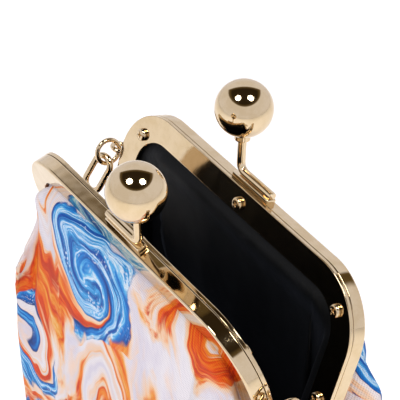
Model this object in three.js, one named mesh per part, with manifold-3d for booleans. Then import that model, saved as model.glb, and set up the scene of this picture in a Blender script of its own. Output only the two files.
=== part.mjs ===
// Phone purse: a cloth bag in an open kiss-lock frame of two hinged halves, each a channel with a screwed clamp plate.
// Millimetres, +Z up, +X along the hinge, the front half towards -Y. The origin is the middle of the base, on the floor.
import * as THREE from 'three';
import { ParametricGeometry } from 'three/addons/geometries/ParametricGeometry.js';
import { mergeVertices } from 'three/addons/utils/BufferGeometryUtils.js';
import Module from 'manifold-3d';

const wasm = await Module();
wasm.setup();

// Overall sizes
const GAP = 0.3; // clearance between neighbouring pieces
const HINGE_HEIGHT = 136; // hinge axis above the floor
const OPEN_ANGLE = 15.6; // degrees each half leans away from upright

// Frame half, in its own plane: x along the hinge, u up the half, n outwards from the mating plane
const FRAME_HEIGHT = 54.3; // hinge axis to the outer face of the top
const FRAME_HALF_WIDTH = 47.2;
const CORNER_RADIUS = 16;
const LEG_TAPER = 1.9; // degrees the legs draw in towards the hinge
const FRAME_DEPTH = 4.7; // mating plane to the outer face of the wall
const RIM_THICKNESS = 0.9;
const WALL_THICKNESS = 0.8;
const WALL_HEIGHT = 6.2; // outer wall, measured inwards from the rim's outer face
const WALL_FOOT = 8; // the wall and the plate end this far above the hinge
const PLATE_THICKNESS = 0.85;
const PLATE_HEIGHT = 6.8;

// Hinge
const EAR_RADIUS = 3;
const EAR_THICKNESS = 0.9;
const EAR_STRAP = 6.5; // inner ear's strap, up the leg
const EAR_STRAP_WIDTH = 2.6;
const RIVET_RADIUS = 1;
const RIVET_HEAD_RADIUS = 1.9;
const RIVET_HEAD = 0.8;

// Screws
const SCREW_INSET = 4.05; // screw axis from the rim's outer face
const SCREW_CORNER_ANGLE = 42; // degrees round the corner, from the side
const SCREW_LEG_DROP = 13.87; // the leg's screw, below the leg's upper end
const SCREW_HEAD_RADIUS = 1.65;
const SCREW_HEAD = 1.1;
const SCREW_SHANK_RADIUS = 0.5;
const SCREW_SHANK = 2.6;
const SCREW_RECESS_RADIUS = 0.75;
const SCREW_RECESS = 0.6;
const BOSS_WALL = 0.5;

// Clasp: a ball on a bent rod, whose foot is soldered along the top of the rim
const BALL_RADIUS = 7;
const ROD_RADIUS = 1.05;
const FOOT_LENGTH = 13.1;
const FOOT_PLATE_WIDTH = 2.6;
const FOOT_PLATE = 1.25;
const POST_X = -5.2; // the post rises here, left of the middle on the back half
const POST_LEAN_X = -1.6; // the ball's offset from the post's foot
const POST_LEAN_Y = 1.6;
const POST_HEIGHT = 15.9;
const COLLAR_RADIUS = 1.9;
const COLLAR_HEIGHT = 1.3;

// Side eyelet, ring and link
const EYELET_DROP = 1.8; // its middle, below the leg's upper end
const EYELET_RADIUS = 2.2; // the eye, to the wire's middle
const EYELET_REACH = 6.6; // outwards from the rim
const EYELET_WIRE = 0.6;
const EYELET_STEM = 0.9;
const RING_RADIUS = 3.2; // to the wire's middle
const RING_WIRE = 0.6;
const RING_TURN = 1.8; // degrees that the ring turns outwards from the line across the hinge
const RING_SWING = -1.5; // degrees that it rises from the eye
const RING_LEAN = -9.9; // degrees that it leans out of the upright
const RING_SHIFT_X = -0.16; // where its wire lies in the eye, off the eye's middle
const RING_SHIFT_Y = -0.43;
const LINK_HALF_WIDTH = 2.5; // to the wire's middle
const LINK_HALF_LENGTH = 5.2;
const LINK_WIRE = 0.85;
const LINK_PLACE = -122.6; // degrees round the ring at which the link hangs
const LINK_SHIFT = 0.53; // its wire's offset from the ring's plane
const LINK_TURN = 15.3; // degrees, about the upright
const LINK_SWING = -22.5; // degrees, about the line along the hinge
const LINK_LEAN = 16.3; // degrees, in the link's own plane

// Cloth
const POUCH_WALL = 1.1;
const LINING_WALL = 1;
const EDGE_SEAT = 0.2; // extra room between the cloth's edge and the rim
const LINING_EASE = 0.5; // room between lining and pouch beyond the gap
const BODY_HALF_WIDTH = 56;
const BODY_HALF_DEPTH = 20;
const BODY_CORNER = 9.5; // corner radius of the body's plan
const BASE_EDGE = 5; // soft radius of the base's edge
const WING_OUT = 7; // how far the cloth stands out beyond the legs at most
const WING_LIFT = 10; // how far it stands off the walls at most
const FOOT_DRAW = 1.6; // how far the pouch's edge draws in above the hinge
const GATHER_DEPTH = 0.7;
const GATHER_COUNT = 4; // folds beside each leg
const SIDE_FOLD = 4.5; // the side panels' inward fold at mid height
const GATHER_FROM = 0.38; // share of the way round at which the folds begin
const FLANK_FROM = 0.72; // share of the way round at which the side's fold begins
const BRIDGE_SHARE = 0.07; // length of cloth below each side opening, as a share of a half's cloth edge
const CLOTH_FOOT = 10; // the cloth leaves the channel this far above the hinge

// Segments
const CORNER_STEPS = 8;
const POUCH_STEPS = [4, 4, 5]; // along each leg, round each corner, along the top
const LINING_STEPS = [3, 3, 3];
const BRIDGE_STEPS = 4;
const BOSS_HOLE_SIDES = 6;

const RAD = Math.PI / 180;
const clamp = (t) => Math.min(Math.max(t, 0), 1);
const ease = (t) => t * t * (3 - 2 * t);

// Two tables of rows, mixed by a share
function mix(from, to, share) {
  return from.map((row, i) => row.map((value, k) => value + (to[i][k] - value) * share));
}

// Solids

function toSolid(geometry) {
  const bare = new THREE.BufferGeometry();
  const flat = geometry.index ? geometry.toNonIndexed() : geometry;
  bare.setAttribute('position', flat.getAttribute('position').clone());
  const merged = mergeVertices(bare, 1e-3);
  const index = merged.index.array;
  const kept = [];
  for (let i = 0; i < index.length; i += 3) {
    const [a, b, c] = [index[i], index[i + 1], index[i + 2]];
    if (a !== b && b !== c && c !== a) kept.push(a, b, c);
  }
  return new wasm.Manifold(new wasm.Mesh({
    numProp: 3,
    vertProperties: merged.getAttribute('position').array,
    triVerts: new Uint32Array(kept),
  }));
}

function toGeometry(solid) {
  const mesh = solid.getMesh();
  const geometry = new THREE.BufferGeometry();
  geometry.setAttribute('position', new THREE.BufferAttribute(new Float32Array(mesh.vertProperties), 3));
  geometry.setIndex(new THREE.BufferAttribute(new Uint32Array(mesh.triVerts), 1));
  const sharp = geometry.toNonIndexed();
  sharp.computeVertexNormals();
  return sharp;
}

function join(geometries) {
  return geometries.map(toSolid).reduce((sum, one) => sum.add(one));
}

// Frame outline: points (x, u) from the left leg's foot over the top to the right leg's foot, inset by s

const taper = LEG_TAPER * RAD;
const cornerX = FRAME_HALF_WIDTH - CORNER_RADIUS;
const cornerU = FRAME_HEIGHT - CORNER_RADIUS;
const legTop = cornerU - CORNER_RADIUS * Math.sin(taper);
const eyeletHeight = legTop - EYELET_DROP;

// A point of the right half of the outline and its inward normal: part is 'leg', 'corner' or 'top'
function outlinePoint(part, share, foot) {
  const endX = cornerX + CORNER_RADIUS * Math.cos(taper);
  if (part === 'top') return { x: share * cornerX, u: FRAME_HEIGHT, nx: 0, nu: -1, leg: 0, low: 0 };
  if (part === 'corner') {
    const a = Math.PI / 2 - share * (Math.PI / 2 + taper);
    const [c, s] = [Math.cos(a), Math.sin(a)];
    return { x: cornerX + CORNER_RADIUS * c, u: cornerU + CORNER_RADIUS * s, nx: -c, nu: -s, leg: share, low: 0 };
  }
  const drop = share * (legTop - foot);
  return {
    x: endX - drop * Math.tan(taper),
    u: legTop - drop,
    nx: -Math.cos(taper),
    nu: Math.sin(taper),
    leg: 1,
    low: share,
  };
}

function halfOutline(foot, topSteps, cornerSteps, legSteps) {
  const right = [];
  for (let i = 0; i < topSteps; i++) right.push(outlinePoint('top', (2 * i) / topSteps - 1, foot));
  const side = [];
  for (let i = 0; i < cornerSteps; i++) side.push(outlinePoint('corner', i / cornerSteps, foot));
  for (let i = 0; i <= legSteps; i++) side.push(outlinePoint('leg', i / legSteps, foot));
  const left = side.map((p) => ({ ...p, x: -p.x, nx: -p.nx })).reverse();
  return [...left, ...right.slice(1), ...side];
}

function inset(point, s) {
  return [point.x + point.nx * s, point.u + point.nu * s];
}

// A flat band that follows the outline from inset s0 to s1, between the depths n0 and n1. Local Z is -n.
function band(foot, s0, s1, n0, n1) {
  const line = halfOutline(foot, 1, CORNER_STEPS, 1);
  const outer = line.map((p) => new THREE.Vector2(...inset(p, s0)));
  const inner = line.map((p) => new THREE.Vector2(...inset(p, s1))).reverse();
  const first = outer[0];
  const last = outer[outer.length - 1];
  inner[0].y = last.y;
  inner[inner.length - 1].y = first.y;
  const shape = new THREE.Shape([...outer, ...inner]);
  const geometry = new THREE.ExtrudeGeometry(shape, { depth: n1 - n0, bevelEnabled: false, steps: 1 });
  return geometry.translate(0, 0, -n1);
}

function cylinderAlongZ(radius, x, u, n0, n1, sides) {
  const geometry = new THREE.CylinderGeometry(radius, radius, n1 - n0, sides);
  return geometry.rotateX(Math.PI / 2).translate(x, u, -(n0 + n1) / 2);
}

function cylinderAlongX(radius, x0, x1, sides) {
  const geometry = new THREE.CylinderGeometry(radius, radius, x1 - x0, sides);
  return geometry.rotateZ(Math.PI / 2).translate((x0 + x1) / 2, 0, 0);
}

function box(x0, x1, u0, u1, n0, n1) {
  const geometry = new THREE.BoxGeometry(x1 - x0, u1 - u0, n1 - n0);
  return geometry.translate((x0 + x1) / 2, (u0 + u1) / 2, -(n0 + n1) / 2);
}

// Screw places on a half: x, u
function screwPlaces() {
  const reach = CORNER_RADIUS - SCREW_INSET;
  const a = SCREW_CORNER_ANGLE * RAD;
  const corner = [cornerX + reach * Math.cos(a), cornerU + reach * Math.sin(a)];
  const legU = legTop - SCREW_LEG_DROP;
  const leg = [FRAME_HALF_WIDTH - SCREW_LEG_DROP * Math.tan(taper) - SCREW_INSET, legU];
  return [
    [0, FRAME_HEIGHT - SCREW_INSET],
    corner,
    [-corner[0], corner[1]],
    leg,
    [-leg[0], leg[1]],
  ];
}

const legFootX = inset(outlinePoint('leg', 1, 0), 0)[0];
const outerEar = [legFootX - EAR_THICKNESS, legFootX];
const innerEar = [outerEar[0] - GAP - EAR_THICKNESS, outerEar[0] - GAP];
const rimInside = PLATE_THICKNESS + GAP;
const wallInside = FRAME_DEPTH - WALL_THICKNESS;
const bossRadius = SCREW_SHANK_RADIUS + GAP + BOSS_WALL;
const bossFoot = PLATE_THICKNESS + GAP;

// The clasp's ball and bent rod, in a back half's own frame, where Z is -n
function claspParts() {
  const a = OPEN_ANGLE * RAD;
  const rodN = rimInside + FOOT_PLATE_WIDTH / 2;
  const foot = new THREE.Vector3(POST_X, FRAME_HEIGHT + FOOT_PLATE + ROD_RADIUS * 0.8, -rodN);
  const rise = new THREE.Vector3(
    POST_LEAN_X,
    POST_LEAN_Y * Math.sin(a) + POST_HEIGHT * Math.cos(a),
    -POST_LEAN_Y * Math.cos(a) + POST_HEIGHT * Math.sin(a),
  );
  const ball = foot.clone().add(rise);
  const up = rise.clone().normalize();
  const bend = ROD_RADIUS * 2.2;
  const rodEnd = foot.clone().add(new THREE.Vector3(FOOT_LENGTH, 0, 0));
  const bendStart = foot.clone().add(new THREE.Vector3(bend, 0, 0));
  const bendEnd = foot.clone().addScaledVector(up, bend);
  const neck = foot.clone().addScaledVector(up, rise.length() - BALL_RADIUS * 0.6);
  const turned = new THREE.QuadraticBezierCurve3(bendStart, foot, bendEnd).getPoints(4);
  const points = [rodEnd, ...turned, neck];
  const rod = joinedWire(points, ROD_RADIUS, 8);
  const sphere = new THREE.SphereGeometry(BALL_RADIUS, 16, 10).translate(ball.x, ball.y, ball.z);
  const turn = new THREE.Quaternion().setFromUnitVectors(new THREE.Vector3(0, 1, 0), up);
  const collarAt = ball.clone().addScaledVector(up, -BALL_RADIUS - COLLAR_HEIGHT * 0.2);
  const collar = new THREE.CylinderGeometry(COLLAR_RADIUS, COLLAR_RADIUS * 0.8, COLLAR_HEIGHT, 12);
  collar.applyQuaternion(turn).translate(collarAt.x, collarAt.y, collarAt.z);
  const plate = box(
    POST_X - ROD_RADIUS, POST_X + FOOT_LENGTH,
    FRAME_HEIGHT - RIM_THICKNESS / 2, FRAME_HEIGHT + FOOT_PLATE,
    rodN - FOOT_PLATE_WIDTH / 2, rodN + FOOT_PLATE_WIDTH / 2,
  );
  return [rod, sphere, collar, plate];
}

// A wire through points, its section square to the bisector at each of them
function joinedWire(points, radius, sides) {
  const side = new THREE.Vector3(0, 0, 1);
  const rings = points.map((point, i) => {
    const before = points[Math.max(i - 1, 0)];
    const after = points[Math.min(i + 1, points.length - 1)];
    const along = after.clone().sub(before).normalize();
    const across = side.clone().addScaledVector(along, -side.dot(along)).normalize();
    const over = new THREE.Vector3().crossVectors(along, across);
    return { point, across, over };
  });
  const last = points.length - 1;
  const place = (u, v, target) => {
    const row = Math.round(v * (last + 2)) - 1;
    const ring = rings[Math.min(Math.max(row, 0), last)];
    const a = 2 * Math.PI * (Math.round(u * sides) % sides) / sides;
    const r = row < 0 || row > last ? 0 : radius;
    target.copy(ring.point).addScaledVector(ring.across, r * Math.cos(a)).addScaledVector(ring.over, r * Math.sin(a));
  };
  return faceOut(new ParametricGeometry(place, sides, last + 2));
}

// Turns a closed geometry's faces outwards
function faceOut(geometry) {
  const flat = geometry.index ? geometry.toNonIndexed() : geometry;
  const p = flat.getAttribute('position');
  const [a, b, c] = [new THREE.Vector3(), new THREE.Vector3(), new THREE.Vector3()];
  let volume = 0;
  for (let i = 0; i < p.count; i += 3) {
    a.fromBufferAttribute(p, i);
    b.fromBufferAttribute(p, i + 1);
    c.fromBufferAttribute(p, i + 2);
    volume += a.dot(b.cross(c));
  }
  if (volume >= 0) return flat;
  for (let i = 0; i < p.count; i += 3) {
    b.fromBufferAttribute(p, i + 1);
    c.fromBufferAttribute(p, i + 2);
    p.setXYZ(i + 1, c.x, c.y, c.z);
    p.setXYZ(i + 2, b.x, b.y, b.z);
  }
  return flat;
}

// Outer face of the leg at a height above the hinge
function legFace(u) {
  return cornerX + CORNER_RADIUS * Math.cos(taper) - (legTop - u) * Math.tan(taper);
}

// A flat eye on a short stem, its hole along the leg, on the left leg's rim
const eyeN = (rimInside + FRAME_DEPTH) / 2;
const eyeX = -legFace(eyeletHeight) - EYELET_REACH + EYELET_RADIUS + EYELET_WIRE;
function eyelet() {
  const eye = new THREE.TorusGeometry(EYELET_RADIUS, EYELET_WIRE, 6, 12);
  eye.rotateX(Math.PI / 2).translate(eyeX, eyeletHeight, -eyeN);
  const stem = cylinderAlongX(EYELET_STEM, eyeX + EYELET_RADIUS, -legFace(eyeletHeight) + RIM_THICKNESS / 2, 8);
  return [faceOut(eye), stem.translate(0, eyeletHeight, -eyeN)];
}

// The channel with its ears, bosses, eyelet and clasp, in a back half's own frame
function frameHalf() {
  const rim = band(EAR_RADIUS + 1.2, 0, RIM_THICKNESS, rimInside, FRAME_DEPTH);
  const wall = band(WALL_FOOT, 0, WALL_HEIGHT, wallInside, FRAME_DEPTH);
  const parts = [rim, wall, ...claspParts(), ...eyelet()];
  for (const [x, u] of screwPlaces()) {
    parts.push(cylinderAlongZ(bossRadius, x, u, bossFoot + GAP, wallInside + WALL_THICKNESS / 2, 8));
  }
  const strap = rimInside + EAR_STRAP_WIDTH;
  parts.push(cylinderAlongX(EAR_RADIUS, outerEar[0], outerEar[1], 16));
  parts.push(box(outerEar[0], outerEar[1], 0, EAR_RADIUS + 2.2, rimInside, FRAME_DEPTH - 0.6));
  parts.push(cylinderAlongX(EAR_RADIUS, -innerEar[1], -innerEar[0], 16));
  parts.push(box(-innerEar[1], -innerEar[0], 0, EAR_STRAP, rimInside, strap));
  parts.push(box(-innerEar[1] - GAP - EAR_THICKNESS, -innerEar[0], EAR_RADIUS + 1.2, EAR_STRAP, rimInside, strap));
  let solid = join(parts);
  const bore = RIVET_RADIUS + GAP;
  solid = solid.subtract(toSolid(cylinderAlongX(bore, outerEar[0] - 1, outerEar[1] + 1, 12)));
  solid = solid.subtract(toSolid(cylinderAlongX(bore, -innerEar[1] - 0.1, -innerEar[0] + 1, 12)));
  for (const [x, u] of screwPlaces()) {
    const hole = cylinderAlongZ(SCREW_SHANK_RADIUS + GAP, x, u, 0, PLATE_THICKNESS + SCREW_SHANK, 6);
    solid = solid.subtract(toSolid(hole));
  }
  return toGeometry(solid);
}

function clampPlate() {
  let solid = toSolid(band(WALL_FOOT, 0, PLATE_HEIGHT, 0, PLATE_THICKNESS));
  for (const [x, u] of screwPlaces()) {
    solid = solid.subtract(toSolid(cylinderAlongZ(SCREW_SHANK_RADIUS + GAP, x, u, -1, PLATE_THICKNESS + 1, 6)));
  }
  return toGeometry(solid);
}

// A screw on the plate's face: its axis is local Z, its head stands towards +Z
function screw() {
  const shankEnd = -(PLATE_THICKNESS + SCREW_SHANK - GAP);
  const top = SCREW_HEAD + GAP;
  const profile = [
    [0, shankEnd],
    [SCREW_SHANK_RADIUS, shankEnd],
    [SCREW_SHANK_RADIUS, GAP],
    [SCREW_HEAD_RADIUS, GAP],
    [SCREW_HEAD_RADIUS, GAP + SCREW_HEAD * 0.5],
    [SCREW_HEAD_RADIUS * 0.75, top],
    [SCREW_RECESS_RADIUS, top],
    [SCREW_RECESS_RADIUS * 0.6, top - SCREW_RECESS],
    [0, top - SCREW_RECESS],
  ];
  const lathe = new THREE.LatheGeometry(profile.map(([r, y]) => new THREE.Vector2(r, y)), 8);
  return toGeometry(toSolid(faceOut(lathe.rotateX(Math.PI / 2))));
}

// A rivet along X through both ears, its outer head towards +X
function hingeRivet() {
  const inHead = innerEar[0] - GAP;
  const outHead = outerEar[1] + GAP;
  const profile = [
    [0, inHead - RIVET_HEAD],
    [RIVET_HEAD_RADIUS * 0.7, inHead - RIVET_HEAD],
    [RIVET_HEAD_RADIUS, inHead - RIVET_HEAD * 0.4],
    [RIVET_HEAD_RADIUS, inHead],
    [RIVET_RADIUS, inHead],
    [RIVET_RADIUS, outHead],
    [RIVET_HEAD_RADIUS, outHead],
    [RIVET_HEAD_RADIUS, outHead + RIVET_HEAD * 0.4],
    [RIVET_HEAD_RADIUS * 0.7, outHead + RIVET_HEAD],
    [0, outHead + RIVET_HEAD],
  ];
  const lathe = new THREE.LatheGeometry(profile.map(([r, y]) => new THREE.Vector2(r, y)), 10);
  return toGeometry(toSolid(faceOut(lathe.rotateZ(-Math.PI / 2))));
}

// A ring in the YZ plane, its wire's middle at the origin
function sideRing() {
  const ring = new THREE.TorusGeometry(RING_RADIUS, RING_WIRE, 6, 16);
  return toGeometry(toSolid(faceOut(ring.rotateY(Math.PI / 2).translate(0, -RING_RADIUS, 0))));
}

// An upright oval link in the XZ plane, its wire's top at the origin
function sideLink() {
  const around = 16;
  const sides = 6;
  const straight = LINK_HALF_LENGTH - LINK_HALF_WIDTH;
  const place = (u, v, target) => {
    const a = 2 * Math.PI * (Math.round(u * around) % around + 0.5) / around;
    const b = 2 * Math.PI * (Math.round(v * sides) % sides) / sides;
    const r = LINK_HALF_WIDTH + LINK_WIRE * Math.cos(b);
    const z = r * Math.sin(a) + Math.sign(Math.sin(a)) * straight - LINK_HALF_LENGTH;
    target.set(r * Math.cos(a), LINK_WIRE * Math.sin(b), z);
  };
  return toGeometry(toSolid(faceOut(new ParametricGeometry(place, around, sides))));
}

// Cloth

// A point of a half in the world: side is 1 for the back half and -1 for the front
function halfPoint(side, x, u, n) {
  const a = OPEN_ANGLE * RAD;
  const y = u * Math.sin(a) + n * Math.cos(a);
  return new THREE.Vector3(x, side * y, HINGE_HEIGHT + u * Math.cos(a) - n * Math.sin(a));
}

// A rounded rectangle by its share from the middle of the front (0) to the middle of the right side (1)
function planPoint(share, a, d, corner) {
  const front = a - corner;
  const flank = d - corner;
  const arc = corner * Math.PI / 2;
  let s = share * (front + arc + flank);
  if (s <= front) return [s, -d];
  s -= front;
  if (s <= arc) return [front + corner * Math.sin(s / corner), -flank - corner * Math.cos(s / corner)];
  return [a, -flank + s - arc];
}

// Body sections below the hinge: shares of the hinge height, half width and half depth
const BODY_TABLE = [
  // height, width, depth, side fold
  [0.935, 1.0, 1.0, 0.1],
  [0.86, 0.985, 0.995, 0.35],
  [0.74, 0.97, 0.97, 0.7],
  [0.56, 0.945, 0.95, 1.0],
  [0.36, 0.915, 0.93, 0.9],
  [0.17, 0.89, 0.91, 0.5],
  [0.05, 0.875, 0.89, 0.1],
];

// The cloth that swells out beside the legs, from their tops down to the hinge: shares of WING_OUT and WING_LIFT
const WING_TABLE = [
  // low, front out, front lift, back out, back lift
  [0, -0.94, 0.11, -0.61, 0.34],
  [0.25, -0.65, 0.66, 0.04, 0.72],
  [0.5, -0.42, 1.12, 0.47, 0.63],
  [0.75, -0.03, 1.14, 0.85, 0.64],
  [1, 0.40, 1.13, 1.19, 0.69],
];
function wingAt(low, back) {
  const i = Math.min(Math.floor(low * (WING_TABLE.length - 1)), WING_TABLE.length - 2);
  const [from, to] = [WING_TABLE[i], WING_TABLE[i + 1]];
  const t = (low - from[0]) / (to[0] - from[0]);
  const value = (k) => from[k] + (to[k] - from[k]) * t;
  const first = back ? 3 : 1;
  return { out: WING_OUT * value(first), lift: WING_LIFT * value(first + 1) };
}

// Rows of the pouch in the channel and over the wall, at the top and at the legs: inset s, depth n, and how far
// the row has fallen towards the hinge, as a share of its height above it
const pouchDepth = wallInside - GAP - POUCH_WALL / 2;
const clothEdge = RIM_THICKNESS + GAP + EDGE_SEAT;
const overWall = FRAME_DEPTH + GAP + POUCH_WALL / 2;
const turnRoom = GAP + POUCH_WALL;
function pouchRows(leg, low, back) {
  const wing = wingAt(low, back);
  const lift = overWall + wing.lift;
  const foot = FOOT_DRAW * low ** 3;
  const top = [
    [clothEdge, pouchDepth, 0],
    [SCREW_INSET, pouchDepth, 0],
    [WALL_HEIGHT, pouchDepth, 0],
    [WALL_HEIGHT + turnRoom * 0.9, pouchDepth + 0.75, 0],
    [WALL_HEIGHT + turnRoom * 1.3, overWall - 0.2, 0],
    [WALL_HEIGHT + turnRoom * 2.2, overWall + 1.6, 0.01],
    [WALL_HEIGHT * 2.2, overWall + 3, 0.04],
  ];
  const side = [
    [clothEdge + foot, pouchDepth, 0],
    [SCREW_INSET + foot * 0.5, pouchDepth, 0],
    [WALL_HEIGHT, pouchDepth, 0],
    [WALL_HEIGHT + turnRoom * (1.2 + 0.6 * low), pouchDepth + 1.25, 0],
    [WALL_HEIGHT - 0.2, overWall + 0.5 + 0.9 * low, 0.02],
    [WALL_HEIGHT * 0.45 - wing.out * 0.3, overWall + 0.6 + wing.lift * 0.4, 0.08],
    [-wing.out, lift, 0.2],
  ];
  return mix(top, side, leg);
}

const liningDepth = PLATE_THICKNESS + GAP + LINING_WALL / 2;
const underPlate = PLATE_HEIGHT + GAP + LINING_WALL;
function liningRows(leg, low) {
  const foot = (FOOT_DRAW + GAP * 3 + LINING_WALL + LINING_EASE) * low ** 3;
  const top = [
    [clothEdge, liningDepth, 0],
    [SCREW_INSET, liningDepth, 0],
    [PLATE_HEIGHT, liningDepth, 0],
    [PLATE_HEIGHT * 1.6, liningDepth + 0.5, 0],
    [PLATE_HEIGHT * 2.6, liningDepth + 2, 0],
    [PLATE_HEIGHT * 5, liningDepth + 6, 0.1],
  ];
  const side = [
    [clothEdge + foot, liningDepth, 0],
    [SCREW_INSET + foot * 0.5, liningDepth, 0],
    [PLATE_HEIGHT, liningDepth, 0],
    [underPlate + 1.8, liningDepth + 0.2, 0.05],
    [underPlate + 2.6, liningDepth + 0.6, 0.5],
    [underPlate + 2.2, liningDepth + 1.2, 1.1],
  ];
  return mix(top, side, leg);
}

// Rows of a bag below the side openings, half way between the halves: x and z from the hinge
const earClear = EAR_RADIUS + GAP;
const sideInside = innerEar[0] - GAP - RIVET_HEAD - GAP * 1.5 - POUCH_WALL / 2;
const pouchBridge = [
  [sideInside, 0.2],
  [sideInside, -1.6],
  [sideInside + 0.2, -earClear],
  [sideInside + 1.2, -earClear - 1.8],
  [sideInside + 2.8, -earClear - 2.6],
  [sideInside + 5, -earClear - 3.2],
  [sideInside + 8, -earClear - 4.2],
];
const liningIn = POUCH_WALL / 2 + GAP + LINING_EASE + LINING_WALL / 2;
const liningSide = sideInside - liningIn;
const liningBridge = [
  [liningSide, 0.2],
  [liningSide, -2],
  [liningSide, -earClear - 2],
  [liningSide, -earClear - 5.5],
  [liningSide + 0.6, -earClear - 8.5],
  [liningSide + 2, -earClear - 12],
];

// One column of a bag: where it starts on the frame and where it runs down the body
function columns(legSteps, cornerSteps, topSteps) {
  const half = halfOutline(CLOTH_FOOT, topSteps, cornerSteps, legSteps);
  const lengths = [0];
  for (let i = 1; i < half.length; i++) {
    lengths.push(lengths[i - 1] + Math.hypot(half[i].x - half[i - 1].x, half[i].u - half[i - 1].u));
  }
  const total = lengths[half.length - 1];
  const bridgeLength = total * BRIDGE_SHARE;
  const reach = total / 2 + bridgeLength;
  const list = [];
  for (const side of [-1, 1]) {
    half.forEach((point, i) => {
      const share = (lengths[i] - total / 2) / reach;
      list.push({ side, point: side < 0 ? point : { ...point, x: -point.x, nx: -point.nx }, share, bridge: 0 });
    });
    const end = list[list.length - 1];
    for (let k = 1; k < BRIDGE_STEPS; k++) {
      const w = (2 * k) / BRIDGE_STEPS;
      const near = 1 - Math.abs(w - 1);
      const across = w <= 1 ? side : -side;
      const share = 1 - (bridgeLength / reach) * (1 - near);
      list.push({ side: across, point: end.point, share: w <= 1 ? share : -share, bridge: near });
    }
  }
  return list;
}

// A point of the body's plan for a column, drawn in by an inset
function bodyPoint(column, row, inwards, z) {
  const [, w, d, fold] = row;
  const share = Math.abs(column.share);
  const a = BODY_HALF_WIDTH * w - inwards;
  const deep = BODY_HALF_DEPTH * d - inwards;
  const corner = Math.max(Math.min(BODY_CORNER, deep) - inwards, 1);
  const [px, py] = planPoint(share, a, deep, corner);
  const flank = ease(clamp((share - FLANK_FROM) / (1 - FLANK_FROM)));
  const hand = Math.sign(column.share) * (column.side < 0 ? 1 : -1);
  return new THREE.Vector3(hand * (px - SIDE_FOLD * fold * flank), column.side * -py, z);
}

// A column of the bag's middle surface: knots in the frame, down the body and under the base
function bagColumn(column, bag) {
  const { side, point, bridge } = column;
  const leg = ease(clamp(point.leg * 1.15 - 0.12));
  const knots = bag.rows(leg, point.low, side > 0).map(([s, n, fall], i) => {
    const [x, u] = inset(point, s);
    const p = halfPoint(side, x, u, n);
    p.z += (HINGE_HEIGHT - p.z) * fall;
    if (bridge === 0) return p;
    const [bx, bz] = bag.bridge[i];
    const drop = clamp(bridge * 1.5);
    const px = p.x + (Math.sign(p.x) * bx - p.x) * ease(clamp(bridge * 1.7));
    return new THREE.Vector3(px, p.y * (1 - bridge), p.z + (HINGE_HEIGHT + bz - p.z) * drop);
  });
  for (const row of bag.body) knots.push(bodyPoint(column, row, bag.inwards, HINGE_HEIGHT * row[0]));
  const low = bag.body[bag.body.length - 1];
  const floor = POUCH_WALL / 2 + bag.inwards;
  const bend = BASE_EDGE * (1 - Math.SQRT1_2);
  knots.push(bodyPoint(column, low, bag.inwards + bend, floor + bend));
  knots.push(bodyPoint(column, low, bag.inwards + BASE_EDGE, floor));
  const middle = knots[knots.length - 1].clone();
  middle.x *= 0.5;
  middle.y *= 0.5;
  const curve = new THREE.CatmullRomCurve3(knots, false, 'catmullrom', 0.45);
  const last = knots.length - 1;
  return bag.sample.map((k) => (k > last ? middle : curve.getPoint(k / last)));
}

// Soft folds in the cloth beside the legs and under the corners
function gather(bag, grid, list) {
  const frameRows = bag.bridge.length;
  list.forEach((column, i) => {
    const share = Math.abs(column.share);
    const near = ease(clamp((share - GATHER_FROM) / 0.2));
    const wave = 0.5 + 0.5 * Math.sin(share * GATHER_COUNT * 2 * Math.PI / (1 - GATHER_FROM) + column.side * 0.9);
    bag.sample.forEach((k, j) => {
      const after = k - (frameRows - 2);
      if (after <= 0 || after > 6) return;
      const fade = clamp(after / 1.5) * (1 - after / 6);
      const p = grid[i][j];
      const push = GATHER_DEPTH * near * wave * fade / Math.hypot(p.x, p.y * 2);
      p.x += p.x * push;
      p.y += p.y * 2 * push;
    });
  });
}

function bagSolid(bag) {
  const list = columns(...bag.steps);
  const across = list.length;
  const grid = list.map((column) => bagColumn(column, bag));
  if (bag.gathered) gather(bag, grid, list);
  const rows = bag.sample.length;
  const pole = new THREE.Vector3(0, 0, grid[0][rows - 1].z);
  const at = (i, j) => (j >= rows ? pole : grid[(i + across) % across][j]);
  const normal = (i, j) => {
    if (j >= rows - 2) return new THREE.Vector3(0, 0, -1);
    const along = at(i + 1, j).clone().sub(at(i - 1, j));
    const down = at(i, j + 1).clone().sub(at(i, Math.max(j - 1, 0)));
    return down.cross(along).normalize();
  };
  const last = 2 * rows + 1;
  const place = (u, v, target) => {
    const i = Math.round(u * across) % across;
    const row = Math.round(v * last);
    const outer = row <= rows;
    const j = outer ? rows - row : row - rows - 1;
    const out = (outer ? 1 : -1) * bag.wall / 2;
    target.copy(at(i, j)).addScaledVector(normal(i, j), out);
  };
  return toSolid(faceOut(new ParametricGeometry(place, across, last)));
}

// sample lists the knots, and shares between them, at which each column is drawn
const pouchBag = {
  rows: pouchRows,
  bridge: pouchBridge,
  body: BODY_TABLE,
  inwards: 0,
  wall: POUCH_WALL,
  steps: POUCH_STEPS,
  sample: [0, 1.9, 2.6, 3, 3.5, 4, 5, 6, 6.6, 7.3, 8.5, 10, 11.5, 13, 14, 15, 16],
  gathered: true,
};
const liningBag = {
  rows: liningRows,
  bridge: liningBridge,
  body: BODY_TABLE.slice(1),
  inwards: liningIn,
  wall: LINING_WALL,
  steps: LINING_STEPS,
  sample: [0, 2, 2.7, 3.4, 4.2, 5, 6, 7, 8.5, 10, 11, 12, 13, 14],
  gathered: false,
};

function withBossHoles(solid) {
  const radius = (bossRadius + GAP) / Math.cos(Math.PI / BOSS_HOLE_SIDES);
  for (const side of [1, -1]) {
    for (const [x, u] of screwPlaces()) {
      const hole = cylinderAlongZ(radius, x, u, 0, FRAME_DEPTH, BOSS_HOLE_SIDES);
      hole.applyMatrix4(halfMatrix(side));
      solid = solid.subtract(toSolid(hole));
    }
  }
  return toGeometry(solid);
}

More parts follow.
